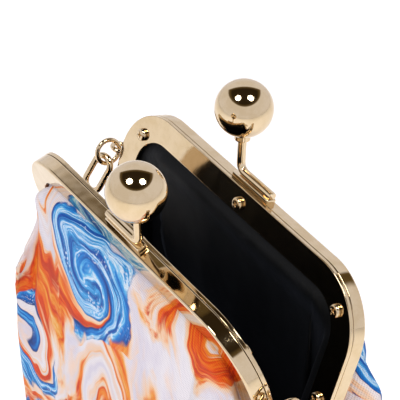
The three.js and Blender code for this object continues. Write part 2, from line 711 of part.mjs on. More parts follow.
// A half's own frame in the world
function halfMatrix(side) {
  const lean = new THREE.Matrix4().makeRotationX(Math.PI / 2 - OPEN_ANGLE * RAD);
  const turn = new THREE.Matrix4().makeRotationZ(side > 0 ? 0 : Math.PI);
  return new THREE.Matrix4().makeTranslation(0, 0, HINGE_HEIGHT).multiply(turn).multiply(lean);
}

// Materials
const gold = (roughness) => new THREE.MeshStandardMaterial({ color: 0xd9bd92, metalness: 1, roughness });
const printedCloth = new THREE.MeshStandardMaterial({ color: 0xe9e4f2, metalness: 0, roughness: 0.7 });
const darkCloth = new THREE.MeshStandardMaterial({ color: 0x0e1118, metalness: 0, roughness: 0.6 });

function mesh(name, geometry, material) {
  const made = new THREE.Mesh(geometry, material);
  made.name = name;
  return made;
}

const purse = new THREE.Group();
const screwGeometry = screw();
const halfGeometry = frameHalf();
const plateGeometry = clampPlate();
const ringGeometry = sideRing();
const linkGeometry = sideLink();

for (const [name, side] of [['back', 1], ['front', -1]]) {
  const standing = new THREE.Group();
  standing.position.z = HINGE_HEIGHT;
  standing.rotation.z = side > 0 ? 0 : Math.PI;
  const leaning = new THREE.Group();
  leaning.rotation.x = Math.PI / 2 - OPEN_ANGLE * RAD;
  standing.add(leaning);
  leaning.add(mesh('frame_half_' + name, halfGeometry, gold(0.12)));
  leaning.add(mesh('clamp_plate_' + name, plateGeometry, gold(0.14)));
  screwPlaces().forEach(([x, u], i) => {
    const one = mesh('screw_' + name + '_' + (i + 1), screwGeometry, gold(0.2));
    one.position.set(x, u, 0);
    leaning.add(one);
  });

  const hand = side > 0 ? 'left' : 'right';
  const a = OPEN_ANGLE * RAD;
  const through = new THREE.Vector3(
    eyeX,
    eyeletHeight * Math.sin(a) + eyeN * Math.cos(a),
    eyeletHeight * Math.cos(a) - eyeN * Math.sin(a),
  );
  const ring = mesh('side_ring_' + hand, ringGeometry, gold(0.15));
  ring.position.set(through.x + RING_SHIFT_X, through.y + RING_SHIFT_Y, through.z);
  ring.rotation.set(RING_SWING * RAD, RING_LEAN * RAD, -RING_TURN * RAD, 'ZXY');
  standing.add(ring);
  const link = mesh('side_link_' + hand, linkGeometry, gold(0.15));
  const place = LINK_PLACE * RAD;
  const inRing = RING_RADIUS - RING_WIRE - LINK_WIRE - GAP;
  const seat = new THREE.Vector3(LINK_SHIFT, inRing * Math.cos(place) - RING_RADIUS, inRing * Math.sin(place));
  link.position.copy(seat.applyEuler(ring.rotation).add(ring.position));
  link.rotation.set(LINK_SWING * RAD, LINK_LEAN * RAD, LINK_TURN * RAD, 'ZXY');
  standing.add(link);
  const rivet = mesh('hinge_rivet_' + (side > 0 ? 'right' : 'left'), hingeRivet(), gold(0.2));
  standing.add(rivet);
  purse.add(standing);
}

purse.add(mesh('outer_pouch', withBossHoles(bagSolid(pouchBag)), printedCloth));
purse.add(mesh('lining', withBossHoles(bagSolid(liningBag)), darkCloth));

export default purse;
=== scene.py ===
"""Phone purse with a screwed kiss-lock frame: fine surfaces, materials, floor, lights and camera."""
import math

import bpy
import numpy as np
from mathutils import Matrix, Vector


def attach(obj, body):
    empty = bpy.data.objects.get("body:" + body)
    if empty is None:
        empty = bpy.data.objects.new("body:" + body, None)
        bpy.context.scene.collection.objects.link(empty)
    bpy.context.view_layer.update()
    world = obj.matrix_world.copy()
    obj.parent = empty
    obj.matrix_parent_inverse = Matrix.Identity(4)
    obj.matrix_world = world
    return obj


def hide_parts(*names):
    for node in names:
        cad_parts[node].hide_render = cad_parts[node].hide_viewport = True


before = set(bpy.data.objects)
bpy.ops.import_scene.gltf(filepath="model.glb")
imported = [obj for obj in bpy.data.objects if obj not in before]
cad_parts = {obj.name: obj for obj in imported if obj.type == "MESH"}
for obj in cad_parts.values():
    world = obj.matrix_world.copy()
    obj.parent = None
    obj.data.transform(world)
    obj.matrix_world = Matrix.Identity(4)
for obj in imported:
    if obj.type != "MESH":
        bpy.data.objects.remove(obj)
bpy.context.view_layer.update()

MM = 0.001
RAD = math.pi / 180

# Sizes in millimetres, as in the solids
GAP = 0.3
HINGE_HEIGHT = 136
OPEN_ANGLE = 15.6
FRAME_HEIGHT = 54.3
FRAME_HALF_WIDTH = 47.2
CORNER_RADIUS = 16
LEG_TAPER = 1.9
FRAME_DEPTH = 4.7
RIM_THICKNESS = 0.9
WALL_THICKNESS = 0.8
WALL_HEIGHT = 6.2
WALL_FOOT = 8
PLATE_THICKNESS = 0.85
PLATE_HEIGHT = 6.8
PLATE_LIP = 0.16
EAR_RADIUS = 3
EAR_THICKNESS = 0.9
EAR_STRAP = 6.5
EAR_STRAP_WIDTH = 2.6
RIVET_RADIUS = 1
RIVET_HEAD_RADIUS = 1.9
RIVET_HEAD = 0.8
SCREW_INSET = 4.05
SCREW_CORNER_ANGLE = 42
SCREW_LEG_DROP = 13.87
SCREW_HEAD_RADIUS = 1.65
SCREW_HEAD = 1.1
SCREW_SHANK_RADIUS = 0.5
SCREW_SHANK = 2.6
BOSS_WALL = 0.5
BALL_RADIUS = 7
ROD_RADIUS = 1.05
FOOT_LENGTH = 13.1
FOOT_PLATE_WIDTH = 2.6
FOOT_PLATE = 1.25
POST_X = -5.2
POST_LEAN_X = -1.6
POST_LEAN_Y = 1.6
POST_HEIGHT = 15.9
COLLAR_RADIUS = 1.9
COLLAR_HEIGHT = 1.3
EYELET_DROP = 1.8
EYELET_RADIUS = 2.2
EYELET_REACH = 6.6
EYELET_WIRE = 0.6
EYELET_STEM = 0.9
RING_RADIUS = 3.2
RING_WIRE = 0.6
RING_TURN = 1.8
RING_SWING = -1.5
RING_LEAN = -9.9
RING_SHIFT_X = -0.16
RING_SHIFT_Y = -0.43
LINK_HALF_WIDTH = 2.5
LINK_HALF_LENGTH = 5.2
LINK_WIRE = 0.85
LINK_PLACE = -122.6
LINK_SHIFT = 0.53
LINK_TURN = 15.3
LINK_SWING = -22.5
LINK_LEAN = 16.3
POUCH_WALL = 1.1
LINING_WALL = 1
EDGE_SEAT = 0.2
LINING_EASE = 0.5
BODY_HALF_WIDTH = 56
BODY_HALF_DEPTH = 20
BODY_CORNER = 9.5
BASE_EDGE = 5
WING_OUT = 7
WING_LIFT = 10
FOOT_DRAW = 1.6
GATHER_DEPTH = 0.7
SWELL_DEPTH = 1.3
GATHER_COUNT = 4
GATHER_FROM = 0.38
SIDE_FOLD = 4.5
LINING_ROLL = 1.3
FLANK_FROM = 0.72
BRIDGE_SHARE = 0.07
CLOTH_FOOT = 10
# Steps along the frame's top, round its corner and down its leg
FRAME_STEPS = (8, 28, 24)
# How far above its foot the wall runs out, and what is left of it
WALL_RUN = 2
WALL_REST = 0.45

rim_inside = PLATE_THICKNESS + GAP
wall_inside = FRAME_DEPTH - WALL_THICKNESS
taper = LEG_TAPER * RAD
corner_x = FRAME_HALF_WIDTH - CORNER_RADIUS
corner_u = FRAME_HEIGHT - CORNER_RADIUS
leg_top = corner_u - CORNER_RADIUS * math.sin(taper)
eyelet_height = leg_top - EYELET_DROP
lean_sin, lean_cos = math.sin(OPEN_ANGLE * RAD), math.cos(OPEN_ANGLE * RAD)


def clamp(t):
    return min(max(t, 0.0), 1.0)


def mixed(a, b, share):
    return a + (b - a) * share


def ease(t):
    return t * t * (3 - 2 * t)


def round_angles(count):
    return [2 * math.pi * k / count for k in range(count)]


def hinge_turn(side):
    """The hinge's place in the world, turned half round where side is -1."""
    return Matrix.Translation((0, 0, HINGE_HEIGHT)) @ Matrix.Rotation(0 if side > 0 else math.pi, 4, "Z")


# Meshes


def norms(vectors):
    return np.linalg.norm(vectors, axis=-1, keepdims=True)


def link_object(name, data):
    obj = bpy.data.objects.new(name, data)
    bpy.context.scene.collection.objects.link(obj)
    return obj


def grid_faces(rows, columns, closed=False):
    """Faces over rows of vertices that each run round; closed joins the last row to the first."""
    faces = []
    for j in range(rows if closed else rows - 1):
        here, there = j * columns, ((j + 1) % rows) * columns
        for i in range(columns):
            after = (i + 1) % columns
            faces.append([here + i, here + after, there + after, there + i])
    return faces


class Shape:
    """Vertices in millimetres and faces, gathered from several forms."""

    def __init__(self):
        self.verts = []
        self.faces = []

    def add(self, verts, faces, matrix=None):
        start = len(self.verts)
        self.verts += [matrix @ Vector(v) if matrix else Vector(v) for v in verts]
        self.faces += [[start + i for i in f] for f in faces]

    def join(self, other, matrix=None):
        self.add(other.verts, other.faces, matrix)

    def build(self, name, material, matrix, sharp=32):
        mesh = bpy.data.meshes.new(name)
        mesh.from_pydata([tuple((matrix @ v) * MM) for v in self.verts], [], self.faces)
        mesh.validate()
        mesh.shade_smooth()
        mesh.set_sharp_from_angle(angle=sharp * RAD)
        mesh.update()
        mesh.materials.append(material)
        return link_object(name, mesh)


def rows_shape(verts, sides, closed=False):
    """A form from rows of vertices, so many sides to a row, with flat ends unless it is closed."""
    rows = len(verts) // sides
    shape = Shape()
    shape.add(verts, grid_faces(rows, sides, closed))
    if not closed:
        shape.faces += [list(range(sides))[::-1], [(rows - 1) * sides + k for k in range(sides)]]
    return shape


def tube(points, radius, sides, closed=False, across=(0, 0, 1)):
    """A round wire through points; radius is one value or one for each point."""
    points = [Vector(p) for p in points]
    across = Vector(across)
    count = len(points)
    radii = radius if isinstance(radius, list) else [radius] * count
    verts = []
    for i, p in enumerate(points):
        before = points[i - 1] if closed or i else p
        after = points[(i + 1) % count] if closed or i < count - 1 else p
        along = (after - before).normalized()
        one = (across - along * across.dot(along)).normalized()
        two = along.cross(one)
        verts += [p + (one * math.cos(a) + two * math.sin(a)) * radii[i] for a in round_angles(sides)]
    return rows_shape(verts, sides, closed)


def turned(profile, sides, axis="Y"):
    """A form turned about an axis from (radius, height) pairs that start and end on the axis."""
    verts = [(r * math.cos(a), y, -r * math.sin(a)) for r, y in profile[1:-1] for a in round_angles(sides)]
    rows = len(profile) - 2
    faces = grid_faces(rows, sides)
    first, last = len(verts), len(verts) + 1
    verts += [(0, profile[0][1], 0), (0, profile[-1][1], 0)]
    for k in range(sides):
        after = (k + 1) % sides
        faces.append([first, after, k])
        faces.append([last, (rows - 1) * sides + k, (rows - 1) * sides + after])
    shape = Shape()
    shape.add(verts, faces)
    if axis == "Z":
        shape.verts = [Vector((v.x, -v.z, v.y)) for v in shape.verts]
    if axis == "X":
        shape.verts = [Vector((v.y, v.z, v.x)) for v in shape.verts]
    return shape


def ball(radius, centre):
    columns, rows = 64, 40
    angles = [math.pi * j / rows - math.pi / 2 for j in range(1, rows)]
    profile = [(0, -radius)] + [(radius * math.cos(a), radius * math.sin(a)) for a in angles] + [(0, radius)]
    shape = turned(profile, columns)
    shape.verts = [v + Vector(centre) for v in shape.verts]
    return shape


def rounded(points, radius, steps=4, lead=0.06):
    """A closed outline with its corners rounded; radius is one value or one for each corner."""
    count = len(points)
    out = []
    for i, p in enumerate(points):
        p = Vector(p)
        before = Vector(points[i - 1])
        after = Vector(points[(i + 1) % count])
        r = radius[i] if isinstance(radius, list) else radius
        if r <= 0:
            out.append(p)
            continue
        one = (before - p).normalized()
        two = (after - p).normalized()
        half = one.angle(two) / 2
        reach = r / math.tan(half)
        centre = p + (one + two).normalized() * (r / math.sin(half))
        start = p + one * reach
        end = p + two * reach
        out.append(start + one * lead)
        for k in range(steps + 1):
            t = k / steps
            mid = start.lerp(end, t) - centre
            out.append(centre + mid.normalized() * r)
        out.append(end + two * lead)
    return out


def block(x0, x1, y0, y1, z0, z1, radius):
    """A block with rounded long edges along X."""
    outline = rounded([(y0, z0), (y1, z0), (y1, z1), (y0, z1)], radius)
    small = radius * 0.3
    stations = [(x0, radius), (x0 + small, small), (x0 + radius, 0)]
    stations += [(x1 - radius, 0), (x1 - small, small), (x1, radius)]
    cy, cz = (y0 + y1) / 2, (z0 + z1) / 2
    verts = []
    for x, draw in stations:
        fy = 1 - 2 * draw / (y1 - y0)
        fz = 1 - 2 * draw / (z1 - z0)
        verts += [(x, mixed(cy, p.x, fy), mixed(cz, p.y, fz)) for p in outline]
    return rows_shape(verts, len(outline))


# The frame's outline


def outline_point(part, share, foot):
    """Place, inward way, and how far the point is round the corner (leg) and down the leg (low)."""
    if part == "top":
        return dict(x=share * corner_x, u=FRAME_HEIGHT, nx=0.0, nu=-1.0, leg=0.0, low=0.0)
    if part == "corner":
        a = math.pi / 2 - share * (math.pi / 2 + taper)
        c, s = math.cos(a), math.sin(a)
        x, u = corner_x + CORNER_RADIUS * c, corner_u + CORNER_RADIUS * s
        return dict(x=x, u=u, nx=-c, nu=-s, leg=share, low=0.0)
    drop = share * (leg_top - foot)
    x = corner_x + CORNER_RADIUS * math.cos(taper) - drop * math.tan(taper)
    return dict(x=x, u=leg_top - drop, nx=-math.cos(taper), nu=math.sin(taper), leg=1.0, low=share)


def half_outline(foot, steps):
    top, corner, leg = steps
    right = [outline_point("top", 2 * i / top - 1, foot) for i in range(top)]
    side = [outline_point("corner", i / corner, foot) for i in range(corner)]
    side += [outline_point("leg", i / leg, foot) for i in range(leg + 1)]
    left = [dict(p, x=-p["x"], nx=-p["nx"]) for p in side][::-1]
    return left + right[1:] + side


def inset(point, s):
    return point["x"] + point["nx"] * s, point["u"] + point["nu"] * s


def sweep(profile_at, foot):
    """A band swept along the outline: profile_at(point) gives closed (inset, depth) pairs."""
    verts = []
    for p in half_outline(foot, FRAME_STEPS):
        ring = profile_at(p)
        verts += [(*inset(p, s), -n) for s, n in ring]
    return rows_shape(verts, len(ring))


def screw_places():
    reach = CORNER_RADIUS - SCREW_INSET
    a = SCREW_CORNER_ANGLE * RAD
    corner = (corner_x + reach * math.cos(a), corner_u + reach * math.sin(a))
    leg = (FRAME_HALF_WIDTH - SCREW_LEG_DROP * math.tan(taper) - SCREW_INSET, leg_top - SCREW_LEG_DROP)
    return [(0, FRAME_HEIGHT - SCREW_INSET), corner, (-corner[0], corner[1]), leg, (-leg[0], leg[1])]


def leg_face(u):
    return corner_x + CORNER_RADIUS * math.cos(taper) - (leg_top - u) * math.tan(taper)


leg_foot_x = leg_face(0)
leg_end = EAR_RADIUS + 1.2
outer_ear = (leg_foot_x - EAR_THICKNESS, leg_foot_x)
inner_ear = (outer_ear[0] - GAP - EAR_THICKNESS, outer_ear[0] - GAP)
eye_n = (rim_inside + FRAME_DEPTH) / 2
eye_x = -leg_face(eyelet_height) - EYELET_REACH + EYELET_RADIUS + EYELET_WIRE


def channel_profile(p):
    """Rim band and outer wall in one section; the wall's height runs out above the leg's foot."""
    height = WALL_HEIGHT
    above = p["u"] - WALL_FOOT
    if p["leg"] == 1 and above < WALL_RUN:
        rest = RIM_THICKNESS + WALL_REST
        height = mixed(rest, WALL_HEIGHT, math.sqrt(1 - (1 - clamp(above / WALL_RUN)) ** 2))
    points = [
        (0, rim_inside), (0, FRAME_DEPTH), (height, FRAME_DEPTH), (height, wall_inside),
        (RIM_THICKNESS, wall_inside), (RIM_THICKNESS, rim_inside),
    ]
    return rounded(points, [0.22, 0.55, 0.3, 0.2, 0.12, 0.2], steps=5)


def rivet_profile():
    inside, outside = inner_ear[0] - GAP, outer_ear[1] + GAP
    steps = 6
    dome = []
    for k in range(1, steps + 1):
        a = math.pi / 2 * k / steps
        dome.append((RIVET_HEAD_RADIUS * math.sin(a), RIVET_HEAD * math.cos(a) ** 0.8))
    profile = [(0, inside - RIVET_HEAD)] + [(r, inside - h) for r, h in dome]
    profile += [(RIVET_HEAD_RADIUS, inside), (RIVET_RADIUS, inside)]
    profile += [(RIVET_RADIUS, outside), (RIVET_HEAD_RADIUS, outside)]
    return profile + [(r, outside + h) for r, h in dome[::-1]] + [(0, outside + RIVET_HEAD)]


def clasp_shape():
    """The bent rod on its foot plate, the collar and the ball."""
    rod_n = rim_inside + FOOT_PLATE_WIDTH / 2
    foot = Vector((POST_X, FRAME_HEIGHT + FOOT_PLATE + ROD_RADIUS * 0.8, -rod_n))
    rise = Vector((
        POST_LEAN_X,
        POST_LEAN_Y * lean_sin + POST_HEIGHT * lean_cos,
        -POST_LEAN_Y * lean_cos + POST_HEIGHT * lean_sin,
    ))
    centre = foot + rise
    up = rise.normalized()
    bend = ROD_RADIUS * 2.2
    rod_end = foot + Vector((FOOT_LENGTH, 0, 0))
    start = foot + Vector((bend, 0, 0))
    end = foot + up * bend
    neck = foot + up * (rise.length - BALL_RADIUS * 0.6)
    path = [rod_end, rod_end + Vector((-0.12, 0, 0)), rod_end + Vector((-0.4, 0, 0))]
    path += [rod_end.lerp(start, t) for t in (0.3, 0.6, 0.9)]
    for k in range(13):
        t = k / 12
        path.append(start * (1 - t) ** 2 + foot * 2 * t * (1 - t) + end * t * t)
    path += [end.lerp(neck, t) for t in (0.2, 0.6, 1)]
    radii = [ROD_RADIUS * 0.72, ROD_RADIUS * 0.93] + [ROD_RADIUS] * (len(path) - 2)
    shape = tube(path, radii, 24)
    shape.join(ball(BALL_RADIUS, centre))
    low, high = -COLLAR_HEIGHT * 0.8, COLLAR_HEIGHT * 0.5
    corners = [(0.01, low), (COLLAR_RADIUS, low), (COLLAR_RADIUS, high), (0.01, high)]
    collar = [tuple(p) for p in rounded(corners, [0, 0.4, 0.3, 0], lead=0.02)]
    turn = Vector((0, 1, 0)).rotation_difference(up).to_matrix().to_4x4()
    at = Matrix.Translation(centre - up * (BALL_RADIUS + COLLAR_HEIGHT * 0.2))
    shape.join(turned([(0, collar[0][1])] + collar[1:-1] + [(0, collar[-1][1])], 32), at @ turn)
    shape.join(block(
        POST_X - ROD_RADIUS, POST_X + FOOT_LENGTH,
        FRAME_HEIGHT - RIM_THICKNESS / 2, FRAME_HEIGHT + FOOT_PLATE,
        -rod_n - FOOT_PLATE_WIDTH / 2, -rod_n + FOOT_PLATE_WIDTH / 2, 0.22,
    ))
    return shape


def ear(x0, x1, strap, wide):
    """A flat ear in the plane across X: a disc round the hinge that runs up into the leg."""
    bevel, middle_depth, middle_up = 0.12, 1.2, 1.0
    loop = [(-math.cos(a) * EAR_RADIUS, -math.sin(a) * EAR_RADIUS) for a in round_angles(48)[:25]]
    loop += [(rim_inside + wide, 1.6), (rim_inside + wide, strap), (rim_inside, strap)]
    loop += [(rim_inside - 0.4, 3.2), (-2.0, 2.2)]
    verts = []
    for x, size in ((x0, 0.965), (x0 + bevel, 1), (x1 - bevel, 1), (x1, 0.965)):
        for depth, up in loop:
            verts.append((x, mixed(middle_up, up, size), -mixed(middle_depth, depth, size)))
    return rows_shape(verts, len(loop))


def half_shape():
    shape = sweep(channel_profile, leg_end)
    shape.join(clasp_shape())
    eye = [
        (eye_x + EYELET_RADIUS * math.cos(a), eyelet_height, -eye_n + EYELET_RADIUS * math.sin(a))
        for a in round_angles(40)
    ]
    shape.join(tube(eye, EYELET_WIRE, 14, closed=True, across=(0, 1, 0)))
    root = -leg_face(eyelet_height) + RIM_THICKNESS / 2
    stem = (eye_x + EYELET_RADIUS, root - 0.9, root - RIM_THICKNESS / 2, root)
    thick = [EYELET_STEM * k for k in (0.8, 1, 1.5, 1.6)]
    shape.join(tube([(x, eyelet_height, -eye_n) for x in stem], thick, 16))
    shape.join(ear(*outer_ear, EAR_RADIUS + 2.2, FRAME_DEPTH - 0.6 - rim_inside))
    shape.join(ear(-inner_ear[1], -inner_ear[0], EAR_STRAP, EAR_STRAP_WIDTH))
    shape.join(block(
        -inner_ear[1] - GAP - EAR_THICKNESS, -inner_ear[0], leg_end, EAR_STRAP,
        -rim_inside - EAR_STRAP_WIDTH, -rim_inside, 0.12,
    ))
    boss = SCREW_SHANK_RADIUS + GAP + BOSS_WALL
    low, top = rim_inside + GAP, wall_inside + WALL_THICKNESS / 2
    post = turned([(0, low), (boss - 0.1, low), (boss, low + 0.1), (boss, top), (0, top)], 24, "Z")
    for x, u in screw_places():
        shape.join(post, Matrix.Translation((x, u, 0)) @ Matrix.Scale(-1, 4, (0, 0, 1)))
    return shape


def plate_shape():
    """One flat section all along, with a low lip over the rim's edge that narrows the seam."""
    lip = PLATE_THICKNESS + PLATE_LIP
    slope = 0.1
    section = rounded([
        (0, 0), (0, lip), (RIM_THICKNESS - slope, lip), (RIM_THICKNESS + slope, PLATE_THICKNESS),
        (PLATE_HEIGHT, PLATE_THICKNESS), (PLATE_HEIGHT, 0),
    ], [0.2, 0.14, 0.05, 0.05, 0.2, 0.24])
    return sweep(lambda p: section, WALL_FOOT)


def screw_shape():
    """A pan head with a cross recess on the plate's face, and its shank."""
    sides, steps = 64, 7
    end = -(PLATE_THICKNESS + SCREW_SHANK - GAP)
    low = GAP * 0.35
    shoulder = GAP + SCREW_HEAD * 0.16
    high = GAP + SCREW_HEAD * 0.78
    wide = SCREW_HEAD_RADIUS - 0.04
    # Radius, height and share of the cross's shape
    rings = [
        (0.34, end, 0), (SCREW_SHANK_RADIUS, end + 0.15, 0), (SCREW_SHANK_RADIUS, low, 0),
        (SCREW_HEAD_RADIUS - 0.14, low, 0), (wide, low + 0.1, 0), (wide, shoulder, 0),
    ]
    for k in range(1, steps):
        a = math.pi / 2 * k / steps
        r = wide - 0.66 * (1 - math.cos(a))
        rings.append((r, shoulder + (high - 0.04 - shoulder) * math.sin(a), 0))
    rings += [
        (0.94, high - 0.02, 0), (0.9, high, 0.4), (0.88, high - 0.05, 0.8), (0.82, high - 0.3, 1),
        (0.55, high - 0.6, 1),
    ]
    verts = []
    for r, z, cross in rings:
        for a in round_angles(sides):
            star = 0.36 + 0.64 * abs(math.cos(2 * a)) ** 5
            rr = r * (1 - cross + cross * star)
            verts.append((rr * math.cos(a), rr * math.sin(a), z))
    return rows_shape(verts, sides)


# Cloth

# Shares of the hinge height, half width, half depth and side fold, down the body
BODY_TABLE = [
    (0.935, 1.0, 1.0, 0.1), (0.86, 0.985, 0.995, 0.35), (0.74, 0.97, 0.97, 0.7), (0.56, 0.945, 0.95, 1.0),
    (0.36, 0.915, 0.93, 0.9), (0.17, 0.89, 0.91, 0.5), (0.05, 0.875, 0.89, 0.1),
]
# How far down the leg, then shares of the outward and lifting swell for the front and the back
WING_TABLE = [
    (0, -0.94, 0.11, -0.61, 0.34), (0.25, -0.65, 0.66, 0.04, 0.72), (0.5, -0.42, 1.12, 0.47, 0.63),
    (0.75, -0.03, 1.14, 0.85, 0.64), (1, 0.4, 1.13, 1.19, 0.69),
]
# Rings that close the base, as shares of its outline
BASE_RINGS = (0.85, 0.6, 0.35, 0.12)
CURVE_TENSION = 0.45
CURVE_LIMIT = 1.2
GATHER_FADE = 0.2
PUCKER_DEPTH = 0.16
PUCKER_ROW = 3.4
PUCKER_PITCH = 1.15
# The fine lining stands a little further in than the solid one, clear of the folds
LINING_CLEAR = 0.25
# How quickly the rows over the hinge come to their places, sideways and in height
BRIDGE_DRAW = 1.7
BRIDGE_DROP = 1.5

pouch_depth = wall_inside - GAP - POUCH_WALL / 2
cloth_edge = RIM_THICKNESS + GAP + EDGE_SEAT
over_wall = FRAME_DEPTH + GAP + POUCH_WALL / 2
turn_room = GAP + POUCH_WALL
lining_depth = PLATE_THICKNESS + GAP + LINING_WALL / 2
under_plate = PLATE_HEIGHT + GAP + LINING_WALL
ear_clear = EAR_RADIUS + GAP
side_inside = inner_ear[0] - GAP - RIVET_HEAD - GAP * 1.5 - POUCH_WALL / 2
lining_in = POUCH_WALL / 2 + GAP + LINING_EASE + LINING_WALL / 2
lining_side = side_inside - lining_in


def half_point(side, x, u, n):
    """The world's point for a half's own x, height u and depth n."""
    return np.array([x, side * (u * lean_sin + n * lean_cos), HINGE_HEIGHT + u * lean_cos - n * lean_sin])


def plan_point(share, a, d, corner):
    """A point on a quarter of a rounded rectangle, from the middle of its front (0) to its side (1)."""
    front, flank = a - corner, d - corner
    arc = corner * math.pi / 2
    s = share * (front + arc + flank)
    if s <= front:
        return s, -d
    s -= front
    if s <= arc:
        return front + corner * math.sin(s / corner), -flank - corner * math.cos(s / corner)
    return a, -flank + s - arc


def wing_at(low, back):
    places, *table = np.array(WING_TABLE).T
    out, lift = table[2:] if back else table[:2]
    return WING_OUT * np.interp(low, places, out), WING_LIFT * np.interp(low, places, lift)


# Rows of the cloth in the frame: (inset, depth, share of the fall to the hinge), at the top and down the legs


def pouch_rows(leg, low, back):
    depth, wall = pouch_depth, WALL_HEIGHT
    out, lift = wing_at(low, back)
    foot = FOOT_DRAW * low ** 3
    top = np.array([
        (cloth_edge, depth, 0), (SCREW_INSET, depth, 0), (wall, depth, 0),
        (wall + turn_room * 0.9, depth + 0.75, 0), (wall + turn_room * 1.3, over_wall - 0.2, 0),
        (wall + turn_room * 2.2, over_wall + 1.6, 0.01), (wall * 2.2, over_wall + 3, 0.04),
    ])
    side = np.array([
        (cloth_edge + foot, depth, 0), (SCREW_INSET + foot * 0.5, depth, 0), (wall, depth, 0),
        (wall + turn_room * (1.2 + 0.6 * low), depth + 1.25, 0),
        (wall - 0.2, over_wall + 0.5 + 0.9 * low, 0.02),
        (wall * 0.45 - out * 0.3, over_wall + 0.6 + lift * 0.4, 0.08), (-out, over_wall + lift, 0.2),
    ])
    return mixed(top, side, leg)


def lining_rows(leg, low, _):
    depth, plate = lining_depth, PLATE_HEIGHT
    foot = (FOOT_DRAW + GAP * 3 + LINING_WALL + LINING_EASE) * low ** 3
    top = np.array([
        (cloth_edge, depth, 0), (SCREW_INSET, depth, 0), (plate + 0.5, depth, 0),
        (plate * 1.5, depth - LINING_ROLL, 0), (plate * 2.3, depth + 0.9, 0), (plate * 5, depth + 6, 0.1),
    ])
    side = np.array([
        (cloth_edge + foot, depth, 0), (SCREW_INSET + foot * 0.5, depth, 0), (plate, depth, 0),
        (under_plate + 1.8, depth + 0.2, 0.05), (under_plate + 2.6, depth + 0.6, 0.5),
        (under_plate + 2.2, depth + 1.2, 1.1),
    ])
    return mixed(top, side, leg)


# The same rows over the hinge: (X, height from the hinge)
POUCH_BRIDGE = [(side_inside + x, z) for x, z in (
    (0, 0.2), (0, -1.6), (0.2, -ear_clear), (1.2, -ear_clear - 1.8), (2.8, -ear_clear - 2.6),
    (5, -ear_clear - 3.2), (8, -ear_clear - 4.2),
)]
LINING_BRIDGE = [(lining_side + x, z) for x, z in (
    (0, 0.2), (0, -2), (0, -ear_clear - 2), (0, -ear_clear - 5.5), (0.6, -ear_clear - 8.5),
    (2, -ear_clear - 12),
)]


def columns(steps, bridge_steps):
    """Columns round the bag: (side, outline point, share from the middle, share over the hinge, girth)."""
    half = half_outline(CLOTH_FOOT, steps)
    lengths = [0.0]
    for a, b in zip(half, half[1:]):
        lengths.append(lengths[-1] + math.hypot(b["x"] - a["x"], b["u"] - a["u"]))
    total = lengths[-1]
    bridge_length = total * BRIDGE_SHARE
    reach = total / 2 + bridge_length
    found = []
    for side in (-1, 1):
        for point, length in zip(half, lengths):
            share = (length - total / 2) / reach
            placed = point if side < 0 else dict(point, x=-point["x"], nx=-point["nx"])
            start = 0 if side < 0 else total + 2 * bridge_length
            found.append((side, placed, share, 0.0, length + start))
        end = found[-1]
        for k in range(1, bridge_steps):
            w = 2 * k / bridge_steps
            near = 1 - abs(w - 1)
            share = 1 - (bridge_length / reach) * (1 - near)
            way = 1 if w <= 1 else -1
            found.append((side * way, end[1], share * way, near, end[4] + w * bridge_length))
    return found


def body_point(column, row, inwards, z):
    side, _, share, _, _ = column
    _, w, d, fold = row
    a = BODY_HALF_WIDTH * w - inwards
    deep = BODY_HALF_DEPTH * d - inwards
    corner = max(min(BODY_CORNER, deep) - inwards, 1)
    px, py = plan_point(abs(share), a, deep, corner)
    flank = ease(clamp((abs(share) - FLANK_FROM) / (1 - FLANK_FROM)))
    hand = math.copysign(1, share) * (1 if side < 0 else -1)
    return np.array([hand * (px - SIDE_FOLD * fold * flank), side * -py, z])


def curve_points(knots, shares):
    """Points of the cardinal curve through the knots, at shares counted in knots."""
    knots = np.array(knots)
    padded = np.vstack([2 * knots[0] - knots[1], knots, 2 * knots[-1] - knots[-2]])
    i = np.minimum(np.floor(shares).astype(int), len(knots) - 2)
    t = (shares - i)[:, None]
    a, b, c, d = padded[i], padded[i + 1], padded[i + 2], padded[i + 3]
    # A long neighbouring span doesn't push a short one past its ends
    most = CURVE_LIMIT * norms(c - b)
    t0, t1 = (
        v * np.minimum(1, most / np.maximum(norms(v), 1e-9))
        for v in (CURVE_TENSION * (c - a), CURVE_TENSION * (d - b))
    )
    return b + t0 * t + (-3 * b + 3 * c - 2 * t0 - t1) * t * t + (2 * b - 2 * c + t0 + t1) * t ** 3


def bag_grid(rows_of, bridge_table, body, inwards, shares, steps):
    """The middle surface: columns round the bag, rows from the cloth's edge down to the base's middle."""
    found = columns(*steps)
    floor = POUCH_WALL / 2 + inwards
    bend = BASE_EDGE * (1 - math.sqrt(0.5))
    grid = []
    for column in found:
        side, point, _, bridge, _ = column
        leg = ease(clamp(point["leg"] * 1.15 - 0.12))
        knots = []
        for i, (s, n, fall) in enumerate(rows_of(leg, point["low"], side > 0)):
            x, u = inset(point, s)
            p = half_point(side, x, u, n)
            p[2] = mixed(p[2], HINGE_HEIGHT, fall)
            if bridge > 0:
                bx, bz = bridge_table[i]
                px = mixed(p[0], math.copysign(bx, p[0]), ease(clamp(bridge * BRIDGE_DRAW)))
                pz = mixed(p[2], HINGE_HEIGHT + bz, clamp(bridge * BRIDGE_DROP))
                p = np.array([px, p[1] * (1 - bridge), pz])
            knots.append(p)
        knots += [body_point(column, row, inwards, HINGE_HEIGHT * row[0]) for row in body]
        knots.append(body_point(column, body[-1], inwards + bend, floor + bend))
        knots.append(body_point(column, body[-1], inwards + BASE_EDGE, floor))
        x, y, z = knots[-1]
        base = [(x * k, y * k, z) for k in BASE_RINGS]
        grid.append(np.vstack([curve_points(knots, shares), base]))
    return np.array(grid), found


